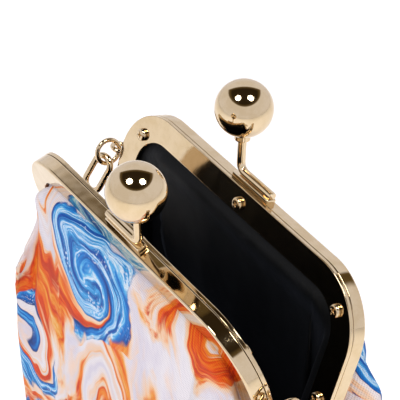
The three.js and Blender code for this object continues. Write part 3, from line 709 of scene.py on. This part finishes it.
def gather(grid, found, shares, frame_rows):
    """Soft folds beside the legs and under the corners, with small puckers between them."""
    after = shares - (frame_rows - 2)
    fade = np.clip(after / 1.5, 0, 1) * np.clip(1 - after / 6, 0, 1)
    edge = np.clip((shares - PUCKER_ROW) / 0.8, 0, 1) * np.clip(1 - (shares - PUCKER_ROW) / 3.6, 0, 1)
    for i, (side, _, share, bridge, along) in enumerate(found):
        share = abs(share)
        near = ease(clamp((share - GATHER_FROM) / GATHER_FADE))
        turn = share * GATHER_COUNT * 2 * math.pi / (1 - GATHER_FROM) + side * 0.9
        wave = 0.5 + 0.5 * math.sin(turn)
        small = math.sin(along * PUCKER_PITCH + 1.3 * math.sin(along * 0.31))
        push = GATHER_DEPTH * near * wave * fade
        push = push + PUCKER_DEPTH * (0.35 + 0.65 * near) * small * edge * (1 - bridge)
        for j, p in enumerate(push):
            x, y, z = grid[i, j]
            k = p / math.hypot(x, y * 2)
            grid[i, j] = (x * (1 + k), y * (1 + 2 * k), z)


def swell(grid, shares, frame_rows, way):
    """Shallow hollows and swells over the body: outwards for the pouch (1), inwards for the lining (-1)."""
    fade = np.clip((shares - frame_rows) / 2, 0, 1) * np.clip((shares[-1] - 1.5 - shares) / 1.5, 0, 1)
    rows = len(shares)
    x, y, z = np.moveaxis(grid[:, :rows], -1, 0)
    broad = np.sin(x * 0.075 + y * 0.11 + 0.8) * np.sin(z * 0.06 + x * 0.03 + 0.4)
    folds = np.sin(x * 0.21 + 0.9 * np.sin(z * 0.045 + 0.6) + y * 0.13) * np.sin(z * 0.028 + 1.1)
    amount = (0.5 + 0.5 * np.clip(0.7 * broad + 0.5 * folds, -1, 1)) * SWELL_DEPTH
    grid[:, :rows] += grid_normals(grid)[:, :rows] * (way * amount * fade)[..., None]


def grid_normals(grid):
    along = np.roll(grid, -1, axis=0) - np.roll(grid, 1, axis=0)
    down = np.empty_like(grid)
    down[:, 1:-1] = grid[:, 2:] - grid[:, :-2]
    down[:, 0] = grid[:, 1] - grid[:, 0]
    down[:, -1] = grid[:, -1] - grid[:, -2]
    normal = np.cross(down, along)
    normal /= np.maximum(norms(normal), 1e-9)
    normal[:, -1 - len(BASE_RINGS):] = (0, 0, -1)
    return normal


def row_steps(grid):
    """The mean distance from each row to the next."""
    return norms(np.diff(grid, axis=1))[..., 0].mean(axis=0)


def cloth_units(length):
    """Millimetres as cloth coordinates, in which the print and the weave count 100 mm as 1."""
    return length * MM * 10


def bag_object(name, grid, found, wall, material):
    """A closed shell round the middle surface, with cloth coordinates round and down the bag."""
    count = len(grid)
    normal = grid_normals(grid)
    outer = grid + normal * wall / 2
    inner = grid - normal * wall / 2
    lead = grid[:, 0] - grid[:, 1]
    lead /= norms(lead)
    # Two rings round off the cloth's edge
    round_1 = outer[:, 0] - normal[:, 0] * wall * 0.2 + lead * wall * 0.25
    round_2 = inner[:, 0] + normal[:, 0] * wall * 0.2 + lead * wall * 0.25
    sheets = [*outer.swapaxes(0, 1)[::-1], round_1, round_2, *inner.swapaxes(0, 1)]
    last = len(sheets) - 1
    faces = grid_faces(len(sheets), count)
    start, stop = len(sheets) * count, len(sheets) * count + 1
    centre = grid[:, -1].mean(axis=0)
    poles = [centre + (0, 0, -wall / 2), centre + (0, 0, wall / 2)]
    for i in range(count):
        faces.append([start, (i + 1) % count, i])
        faces.append([stop, last * count + i, last * count + (i + 1) % count])
    mesh = bpy.data.meshes.new(name)
    mesh.from_pydata((np.vstack([*sheets, poles]) * MM).tolist(), [], faces)
    mesh.shade_smooth()

    girth = np.array([c[4] for c in found])
    whole = girth[-1] + (girth[1] - girth[0])
    depth = np.concatenate([[0], np.cumsum(row_steps(grid))])
    row_depth = np.concatenate([depth[::-1], [0, 0], depth])
    uv = []
    for polygon in mesh.polygons:
        ids = list(polygon.vertices)
        base = [v % count for v in ids if v < start]
        wrap = max(base) - min(base) > count / 2
        for v in ids:
            c = v % count if v < start else base[0]
            row = v // count if v < start else (0 if v == start else last)
            uv.append((girth[c] + (whole if wrap and c < count / 2 else 0), row_depth[row]))
    mesh.uv_layers.new(name="cloth").data.foreach_set("uv", cloth_units(np.array(uv)).ravel())
    mesh.update()
    mesh.materials.append(material)
    return link_object(name, mesh)


# Materials

# The print's cells: where they lie, scale and spread, how far their strokes curl, and how that fades
PRINT_SHIFT = (0.62, 1.13, 0)
PRINT_SCALE = 2.55
PRINT_SPREAD = 0.75
PRINT_CURL = 6.8
PRINT_FADE = -86.0
# The share of the cells that have strokes
STROKE_SHARE = 0.62
POUCH_THREAD = 0.55
LINING_THREAD = 0.3


class Nodes:
    """The nodes of a material or a world, with short ways to make and join them."""

    def __init__(self, owner):
        owner.use_nodes = True
        self.owner = owner
        self.tree = owner.node_tree

    def make(self, kind, inputs=(), **settings):
        node = self.tree.nodes.new(kind)
        for key, value in settings.items():
            setattr(node, key, value)
        for key, value in dict(inputs).items():
            self.feed(node.inputs[key], value)
        return node

    def feed(self, socket, value):
        if isinstance(value, bpy.types.NodeSocket):
            self.tree.links.new(value, socket)
        else:
            socket.default_value = value

    def set(self, **values):
        shader = self.tree.nodes["Principled BSDF"]
        for key, value in values.items():
            self.feed(shader.inputs[key.replace("_", " ")], value)

    def math(self, operation, a, b=0.5, c=0.0):
        return self.make("ShaderNodeMath", {0: a, 1: b, 2: c}, operation=operation).outputs[0]

    def times(self, a, b):
        return self.math("MULTIPLY", a, b)

    def scaled(self, a, b, c):
        return self.math("MULTIPLY_ADD", a, b, c)

    def vector(self, operation, a, b, out="Vector"):
        return self.make("ShaderNodeVectorMath", {0: a, 1: b}, operation=operation).outputs[out]

    def shift(self, a, b):
        return self.vector("ADD", a, b)

    def stretch(self, a, b):
        return self.vector("MULTIPLY", a, b)

    def mix(self, factor, a, b, blend="MIX"):
        inputs = {0: factor, 6: a, 7: b}
        return self.make("ShaderNodeMix", inputs, data_type="RGBA", blend_type=blend).outputs[2]

    def step(self, value, low, high, to_low=0.0, to_high=1.0):
        inputs = {0: value, 1: low, 2: high, 3: to_low, 4: to_high}
        return self.make("ShaderNodeMapRange", inputs, interpolation_type="SMOOTHSTEP").outputs[0]

    def noise(self, vector, scale, detail, rough=0.5, distortion=0.0, out=0):
        inputs = {"Vector": vector, "Scale": scale, "Detail": detail}
        inputs.update({"Roughness": rough, "Distortion": distortion})
        return self.make("ShaderNodeTexNoise", inputs).outputs[out]

    def wave(self, vector, scale, direction, distortion=0.0, detail=0.0, detail_scale=1.0):
        inputs = {"Vector": vector, "Scale": scale, "Distortion": distortion}
        inputs.update({"Detail": detail, "Detail Scale": detail_scale})
        node = self.make("ShaderNodeTexWave", inputs, wave_type="BANDS", bands_direction=direction)
        return node.outputs["Fac"]

    def cells(self, vector, scale, spread=1.0):
        inputs = {"Vector": vector, "Scale": scale, "Randomness": spread}
        return self.make("ShaderNodeTexVoronoi", inputs, voronoi_dimensions="2D").outputs

    def ramp(self, value, stops):
        node = self.make("ShaderNodeValToRGB", {0: value})
        elements = node.color_ramp.elements
        for i, (position, color) in enumerate(stops):
            if i < 2:
                elements[i].position, elements[i].color = position, color
            else:
                elements.new(position).color = color
        return node.outputs[0]

    def bumps(self, *layers):
        """Bump over bump, each with height, strength and distance."""
        inputs = {}
        for height, strength, distance in layers:
            inputs.update({"Height": height, "Strength": strength, "Distance": distance})
            inputs["Normal"] = self.make("ShaderNodeBump", inputs).outputs[0]
        return inputs["Normal"]

    def cloth(self):
        return self.make("ShaderNodeUVMap", uv_map="cloth").outputs[0]

    def place(self):
        return self.make("ShaderNodeTexCoord").outputs["Object"]


def new_material(name):
    return Nodes(bpy.data.materials.new(name))


def rgb(r, g, b):
    """A colour as a screen shows it, 0 to 255, in linear values, opaque."""
    values = [c / 255 for c in (r, g, b)]
    return (*(c / 12.92 if c <= 0.04045 else ((c + 0.055) / 1.055) ** 2.4 for c in values), 1)


def gold_material(name, roughness, ripple):
    m = new_material(name)
    place = m.place()
    cloud = m.noise(place, 260, 3, 0.6)
    fine = m.noise(m.stretch(place, (1, 1, 0.12)), 9000, 2, 0.6)
    marks = m.step(m.noise(place, 1400, 4, 0.7), 0.62, 0.7)
    edge = m.step(m.make("ShaderNodeNewGeometry").outputs["Pointiness"], 0.53, 0.6)
    base = m.mix(m.step(cloud, 0.35, 0.7), rgb(224, 201, 165), rgb(216, 191, 151))
    base = m.mix(m.times(edge, 0.5), base, rgb(240, 222, 196))
    rough = m.scaled(cloud, 0.05, roughness - 0.02)
    rough = m.scaled(marks, 0.08, rough)
    rough = m.scaled(edge, 0.06, rough)
    normal = m.bumps((m.noise(place, 190, 1, 0.4), 0.5 * ripple, 0.0004), (fine, 0.05, 0.00002))
    m.set(Base_Color=base, Metallic=1.0, Roughness=rough, Normal=normal)
    return m.owner


def weave(m, cloth, pitch, twill=False):
    """Threads over and under, as a height: pitch in millimetres."""
    scale = 2 * math.pi / (20 * pitch / 100)
    drift = m.noise(cloth, 60, 2, out=1)
    wobble = m.make("ShaderNodeVectorMath", {0: drift, "Scale": 0.004}, operation="SCALE").outputs[0]
    moved = m.shift(cloth, wobble)
    if twill:
        cross = m.wave(moved, scale, "DIAGONAL")
        down = m.wave(moved, scale * 1.9, "X")
        return m.scaled(cross, 0.7, m.times(down, 0.3))
    return m.math("MAXIMUM", m.wave(moved, scale, "X"), m.wave(moved, scale, "Y"))


def print_material(side_seams, base_seam):
    """A fine plain weave with a marbled print: blue strokes that curl, drifts of orange, on a pale ground."""
    m = new_material("printed_cloth_fine")
    cloth = m.cloth()
    drift = m.vector("SUBTRACT", m.noise(cloth, 2.6, 3, out=1), (0.5, 0.5, 0.5))
    bent = m.shift(cloth, m.stretch(drift, (0.3, 0.3, 0)))

    # Each cell of the print turns round its middle, so that the strokes in it curl
    cell = m.cells(m.shift(bent, PRINT_SHIFT), PRINT_SCALE, PRINT_SPREAD)
    middle = m.vector("SUBTRACT", cell["Position"], PRINT_SHIFT)
    away = m.vector("DISTANCE", bent, middle, "Value")
    pick = m.make("ShaderNodeSeparateColor", {0: cell["Color"]}).outputs
    fall = m.math("POWER", 2.718, m.times(m.times(away, away), PRINT_FADE))
    hand = m.scaled(m.math("GREATER_THAN", pick[1], 0.5), 2.0, -1.0)
    turn = {"Vector": bent, "Center": middle, "Angle": m.times(m.times(fall, PRINT_CURL), hand)}
    spun = m.make("ShaderNodeVectorRotate", turn, rotation_type="Z_AXIS").outputs[0]

    pale = m.step(m.noise(spun, 6, 4, 0.6), 0.4, 0.62)
    ground = m.mix(pale, rgb(238, 231, 233), rgb(222, 214, 224))
    blush = m.step(m.noise(m.shift(spun, (4.2, 0.3, 0)), 4.4, 5, 0.6), 0.5, 0.66)
    ground = m.mix(m.times(blush, 0.75), ground, rgb(250, 212, 178))

    warm_field = m.noise(m.shift(spun, (3.7, 1.9, 0)), 3.4, 5, 0.55, 0.4)
    brush = m.noise(m.shift(m.stretch(spun, (1, 2.2, 1)), (1.1, 5.2, 0)), 7, 8, 0.68, 0.7)
    warm_tone = m.ramp(brush, [
        (0.28, rgb(250, 216, 170)), (0.37, rgb(244, 172, 72)), (0.45, rgb(240, 124, 22)),
        (0.53, rgb(232, 78, 12)), (0.61, rgb(200, 46, 12)), (0.7, rgb(242, 146, 48)),
    ])
    spread = m.mix(m.step(warm_field, 0.45, 0.53), ground, rgb(250, 204, 152))
    warm = m.mix(m.step(warm_field, 0.5, 0.55), spread, warm_tone)

    # The curling strokes: bands round the middle of some cells, with darker edges and light streaks in them
    size = m.scaled(m.noise(bent, 9, 3, 0.6), 0.13, away)
    bands = m.wave(m.shift(spun, (0.3, 0.1, 0)), 1.15, "DIAGONAL", 3.0, 3, 1.4)
    inside = m.times(m.step(size, 0.245, 0.228), m.math("LESS_THAN", pick[0], STROKE_SHARE))
    stroke = m.times(m.step(bands, 0.3, 0.36), inside)
    streak = m.noise(m.shift(spun, (5.1, 2.2, 0)), 11, 7, 0.7, 1.4)
    cool_tone = m.ramp(m.scaled(bands, 0.45, m.times(streak, 0.75)), [
        (0.46, rgb(14, 48, 116)), (0.56, rgb(14, 92, 176)), (0.64, rgb(22, 132, 212)),
        (0.7, rgb(104, 192, 236)), (0.745, rgb(236, 243, 248)), (0.78, rgb(66, 170, 230)),
        (0.86, rgb(12, 78, 164)),
    ])
    specks = m.cells(cloth, 95.0)["Distance"]
    spray = m.step(m.noise(bent, 12, 3, 0.6), 0.54, 0.66)
    dots = m.times(m.step(specks, 0.3, 0.22), m.times(spray, 0.75))
    cool_tone = m.mix(dots, cool_tone, rgb(234, 240, 246))
    edge = m.times(m.step(bands, 0.25, 0.31), inside)
    color = m.mix(stroke, m.mix(edge, warm, rgb(14, 56, 122)), cool_tone)

    threads = weave(m, cloth, POUCH_THREAD)
    slubs = m.noise(m.stretch(cloth, (1, 9, 1)), 55, 2, 0.6)
    # Painted shade in the weave's hollows: darker where the threads dip
    color = m.mix(m.step(threads, 0.2, 0.85, 0.34, 0.0), color, (0.32, 0.3, 0.36, 1), "MULTIPLY")
    color = m.mix(m.times(slubs, 0.16), color, (0.6, 0.58, 0.62, 1), "MULTIPLY")

    # Sewn seams down the sides and round the base: a narrow groove that draws small puckers
    around, down, _ = m.make("ShaderNodeSeparateXYZ", {0: cloth}).outputs
    near = m.math("ABSOLUTE", m.math("SUBTRACT", down, base_seam))
    for seam in side_seams:
        near = m.math("MINIMUM", near, m.math("ABSOLUTE", m.math("SUBTRACT", around, seam)))
    groove = m.step(near, 0.001, 0.006)
    pucker = m.times(m.step(near, 0.05, 0.004), m.wave(cloth, 10.5, "DIAGONAL", 1.5, 1, 2.0))
    color = m.mix(m.scaled(groove, -0.45, 0.45), color, (0.3, 0.28, 0.34, 1), "MULTIPLY")
    creases = m.noise(m.stretch(cloth, (1.6, 0.7, 1)), 16, 3, 0.55)
    normal = m.bumps(
        (creases, 0.35, 0.0012), (pucker, 0.5, 0.0003), (groove, 0.7, 0.0004), (slubs, 0.25, 0.00008),
        (threads, 0.7, 0.00015),
    )
    m.set(Base_Color=color, Roughness=m.scaled(slubs, 0.15, 0.62), Normal=normal)
    m.set(Sheen_Weight=0.05, Sheen_Roughness=0.5, Specular_IOR_Level=0.18)
    return m.owner


def lining_material():
    """A near-black lining with a fine twill, broad soft creases and a low cool sheen, and painted shade that
    darkens it with depth and in the twill's hollows.
    """
    m = new_material("lining_fine")
    cloth = m.cloth()
    threads = weave(m, cloth, LINING_THREAD, twill=True)
    patch = m.noise(m.stretch(cloth, (1, 0.5, 1)), 9, 3, 0.55)
    color = m.mix(m.step(patch, 0.35, 0.7), rgb(6, 7, 7), rgb(12, 13, 15))
    # Painted shade in the twill's hollows: darker where the threads dip
    color = m.mix(m.step(threads, 0.3, 0.8, 0.35, 0.0), color, rgb(4, 5, 6))
    # Painted shade: the colour darkens towards the bottom of the bag, down the cloth coordinate
    down = m.make("ShaderNodeSeparateXYZ", {0: cloth}).outputs[1]
    color = m.mix(m.step(down, 0.2, 0.75, 0.0, 0.7), color, rgb(3, 3, 3))
    creases = m.noise(m.stretch(cloth, (1.2, 0.7, 1)), 3.2, 2, 0.4)
    pulls = m.noise(m.stretch(cloth, (1.1, 1.4, 1)), 7, 2)
    normal = m.bumps((creases, 0.5, 0.005), (pulls, 0.3, 0.0012), (threads, 0.35, 0.00006))
    m.set(Base_Color=color, Roughness=m.scaled(patch, 0.14, 0.48), Normal=normal)
    m.set(Sheen_Weight=0.06, Sheen_Roughness=0.45, Sheen_Tint=rgb(146, 156, 182), Specular_IOR_Level=0.16)
    return m.owner


def floor_material():
    m = new_material("pale_floor")
    tone = m.mix(m.noise(m.place(), 6, 3), rgb(250, 250, 251), rgb(246, 246, 248))
    m.set(Base_Color=tone, Roughness=0.75, Specular_IOR_Level=0.2)
    m.set(Emission_Color=(1, 1, 1, 1), Emission_Strength=0.26)
    return m.owner


gold = gold_material("gold_fine", roughness=0.05, ripple=0.25)
mirror = gold_material("gold_mirror_fine", roughness=0.08, ripple=0.2)
screw_gold = gold_material("gold_screw_fine", roughness=0.12, ripple=0.5)
dark = lining_material()

# Frame

half_form = half_shape()
plate_form = plate_shape()
screw_form = screw_shape()
rivet_form = turned(rivet_profile(), 32, "X")

for name, side in (("back", 1), ("front", -1)):
    # A half's own frame: X along the hinge, Y up the half, Z minus its depth
    place = hinge_turn(side) @ Matrix.Rotation((90 - OPEN_ANGLE) * RAD, 4, "X")
    half = half_form.build("frame_half_fine_" + name, gold, place)
    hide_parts("frame_half_" + name)
    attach(half, "root")
    plate = plate_form.build("clamp_plate_fine_" + name, mirror, place)
    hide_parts("clamp_plate_" + name)
    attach(plate, "root")
    for i, (x, u) in enumerate(screw_places()):
        # Each screw's cross stands at its own angle
        spin = Matrix.Rotation((23 + 37 * i + 11 * side) * RAD, 4, "Z")
        where = place @ Matrix.Translation((x, u, 0)) @ spin
        piece = screw_form.build(f"screw_fine_{name}_{i + 1}", screw_gold, where)
        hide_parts(f"screw_{name}_{i + 1}")
        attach(piece, "root")
    hand = "right" if side > 0 else "left"
    rivet = rivet_form.build("hinge_rivet_fine_" + hand, screw_gold, hinge_turn(side))
    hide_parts("hinge_rivet_" + hand)
    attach(rivet, "root")

# The bags


def row_shares(bridge, body, above, below):
    """Where the rows lie, counted in knots: some down to the frame's last knot, some from there."""
    first, last = len(bridge), len(bridge) + len(body) + 1
    return np.concatenate([np.linspace(0, first, above, endpoint=False), np.linspace(first, last, below)])


steps = (((72, 28, 36), 20))
pouch_shares = row_shares(POUCH_BRIDGE, BODY_TABLE, *(((44, 60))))
pouch_grid, pouch_columns = bag_grid(pouch_rows, POUCH_BRIDGE, BODY_TABLE, 0, pouch_shares, steps)
gather(pouch_grid, pouch_columns, pouch_shares, len(POUCH_BRIDGE))
swell(pouch_grid, pouch_shares, len(POUCH_BRIDGE), 1)
# The side seams lie over the middle of the hinge, the base seam at the body table's last row
girths = [girth for _, _, _, bridge, girth in pouch_columns if bridge > 0.999]
seam_row = np.searchsorted(pouch_shares, len(POUCH_BRIDGE) + len(BODY_TABLE) - 1)
base_seam = row_steps(pouch_grid)[:seam_row].sum()
printed = print_material([cloth_units(g) for g in girths], cloth_units(base_seam))
pouch = bag_object("outer_pouch_fine", pouch_grid, pouch_columns, POUCH_WALL, printed)
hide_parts("outer_pouch")
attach(pouch, "root")

lining_body = BODY_TABLE[1:]
lining_shares = row_shares(LINING_BRIDGE, lining_body, *(((36, 44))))
lining_grid, lining_columns = bag_grid(
    lining_rows, LINING_BRIDGE, lining_body, lining_in + LINING_CLEAR, lining_shares, steps,
)
swell(lining_grid, lining_shares, len(LINING_BRIDGE), -1)
inside = bag_object("lining_fine", lining_grid, lining_columns, LINING_WALL, dark)
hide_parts("lining")
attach(inside, "root")

# Rings and links


def swung(swing, lean, turn):
    z, x, y = (Matrix.Rotation(a * RAD, 4, axis) for a, axis in ((turn, "Z"), (swing, "X"), (lean, "Y")))
    return z @ x @ y


def ring_form():
    points = [(0, RING_RADIUS * (math.cos(a) - 1), RING_RADIUS * math.sin(a)) for a in round_angles(72)]
    return tube(points, RING_WIRE, 18, closed=True, across=(1, 0, 0))


def link_form():
    steps = 32
    straight = LINK_HALF_LENGTH - LINK_HALF_WIDTH
    points = []
    for end, start in ((1, 0), (-1, math.pi)):
        for k in range(steps + 1):
            a = start + math.pi * k / steps
            z = LINK_HALF_WIDTH * math.sin(a) + end * straight - LINK_HALF_LENGTH
            points.append((LINK_HALF_WIDTH * math.cos(a), 0, z))
    return tube(points, LINK_WIRE, 20, closed=True, across=(0, 1, 0))


for side, hand in ((1, "left"), (-1, "right")):
    world = hinge_turn(side)
    eye = Vector((
        eye_x + RING_SHIFT_X,
        eyelet_height * lean_sin + eye_n * lean_cos + RING_SHIFT_Y,
        eyelet_height * lean_cos - eye_n * lean_sin,
    ))
    ring_place = Matrix.Translation(eye) @ swung(RING_SWING, RING_LEAN, -RING_TURN)
    in_ring = RING_RADIUS - RING_WIRE - LINK_WIRE - GAP
    spot = LINK_PLACE * RAD
    seat = ring_place @ Vector((LINK_SHIFT, in_ring * math.cos(spot) - RING_RADIUS, in_ring * math.sin(spot)))
    link_place = Matrix.Translation(seat) @ swung(LINK_SWING, LINK_LEAN, LINK_TURN)
    for form, kind, where in ((ring_form(), "ring", ring_place), (link_form(), "link", link_place)):
        piece = form.build(f"side_{kind}_fine_{hand}", gold, world @ where, sharp=60)
        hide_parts(f"side_{kind}_{hand}")
        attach(piece, "root")

# Floor, lights and camera

# The tent's opening on the sky's sphere: width, length, its shift along, where it is cut off, and its foot
OPENING_WIDTH = 0.79
OPENING_LENGTH = 0.85
OPENING_SHIFT = -0.235
OPENING_REACH = 0.71
OPENING_FOOT = 0.05
SKY_STRENGTH = 0.86
LAMP_AIM = Vector((0, 0, 0.15))

bpy.ops.mesh.primitive_plane_add(size=4, location=(0, 0, -0.0002))
floor = bpy.context.object
floor.name = "floor"
floor.data.materials.append(floor_material())


def sky():
    """Soft white walls and, overhead, the dark opening of a light tent."""
    m = Nodes(bpy.data.worlds.new("soft_studio"))
    bpy.context.scene.world = m.owner
    way = m.make("ShaderNodeTexCoord").outputs["Generated"]
    # s runs across the opening, w along it, from the camera's side to the far side
    s, w, up = (
        m.vector("DOT_PRODUCT", way, axis, "Value")
        for axis in ((0.559, 0.829, 0.0), (-0.819, 0.552, 0.157), (0.130, -0.088, 0.988))
    )
    across = m.math("POWER", m.times(s, 1 / OPENING_WIDTH), 2)
    reach = m.math("POWER", m.scaled(w, 1 / OPENING_LENGTH, OPENING_SHIFT), 2)
    oval = m.math("SUBTRACT", m.math("SQRT", m.math("ADD", across, reach)), 1)
    cut = m.math("SUBTRACT", w, OPENING_REACH)
    foot = m.math("SUBTRACT", OPENING_FOOT, up)
    outside = m.math("MAXIMUM", m.math("MAXIMUM", oval, cut), foot)
    light = m.ramp(m.scaled(outside, 3.0, 0.55), [
        (0.1, (0.035, 0.024, 0.012, 1)), (0.46, (0.16, 0.115, 0.05, 1)), (0.6, (0.975, 0.985, 1.09, 1)),
    ])
    background = m.tree.nodes["Background"]
    m.feed(background.inputs["Color"], light)
    m.feed(background.inputs["Strength"], SKY_STRENGTH)


def lamp(name, place, size, power):
    data = bpy.data.lights.new(name, "AREA")
    data.shape = "DISK"
    data.size = size
    data.energy = power
    light = link_object(name, data)
    light.location = place
    light.rotation_mode = "QUATERNION"
    light.rotation_quaternion = (LAMP_AIM - Vector(place)).to_track_quat("-Z", "Y")
    return light


sky()
lamp("lamp_left", (-0.05, -0.55, 1.35), size=0.46, power=6.5)
lamp("lamp_right", (0.49, 0.25, 1.35), size=0.46, power=6.5)
lamp("lamp_front", (0.9, -1.1, 0.9), size=0.9, power=3.5).visible_glossy = False


def set_camera():
    """The photo's viewpoint, from the fit of the frame's edges: pixels of a 400 by 400 image."""
    az, el, roll = 56.0161 * RAD, 42.4487 * RAD, 0.6885 * RAD
    distance, focal, image = 502.702, 2031.871, 400
    target = (188.903, 377.258)
    back = Vector((math.sin(az) * math.cos(el), -math.cos(az) * math.cos(el), math.sin(el)))
    right = Vector((math.cos(az), math.sin(az), 0))
    up = back.cross(right)
    r = right * math.cos(roll) + up * math.sin(roll)
    u = -right * math.sin(roll) + up * math.cos(roll)
    # The hinge's middle comes to the target, not to the image's middle
    d = Vector(((target[0] - image / 2) / focal, -(target[1] - image / 2) / focal, -1)).normalized()
    z = Vector((0, 0, -1))
    v = z.cross(d)
    k = Matrix(((0, -v.z, v.y), (v.z, 0, -v.x), (-v.y, v.x, 0)))
    turn = Matrix.Identity(3) + k + (k @ k) * (1 / (1 + z.dot(d)))
    view = turn @ Matrix((r, u, back))
    data = bpy.data.cameras.new("camera")
    data.sensor_width = 36
    data.lens = data.sensor_width * focal / image
    data.clip_start, data.clip_end = 0.05, 50
    camera = link_object("camera", data)
    camera.rotation_mode = "QUATERNION"
    camera.rotation_quaternion = view.transposed().to_quaternion()
    camera.location = (back * distance + Vector((0, 0, HINGE_HEIGHT))) * MM
    bpy.context.scene.camera = camera


set_camera()
bpy.context.scene.view_settings.view_transform = "Standard"
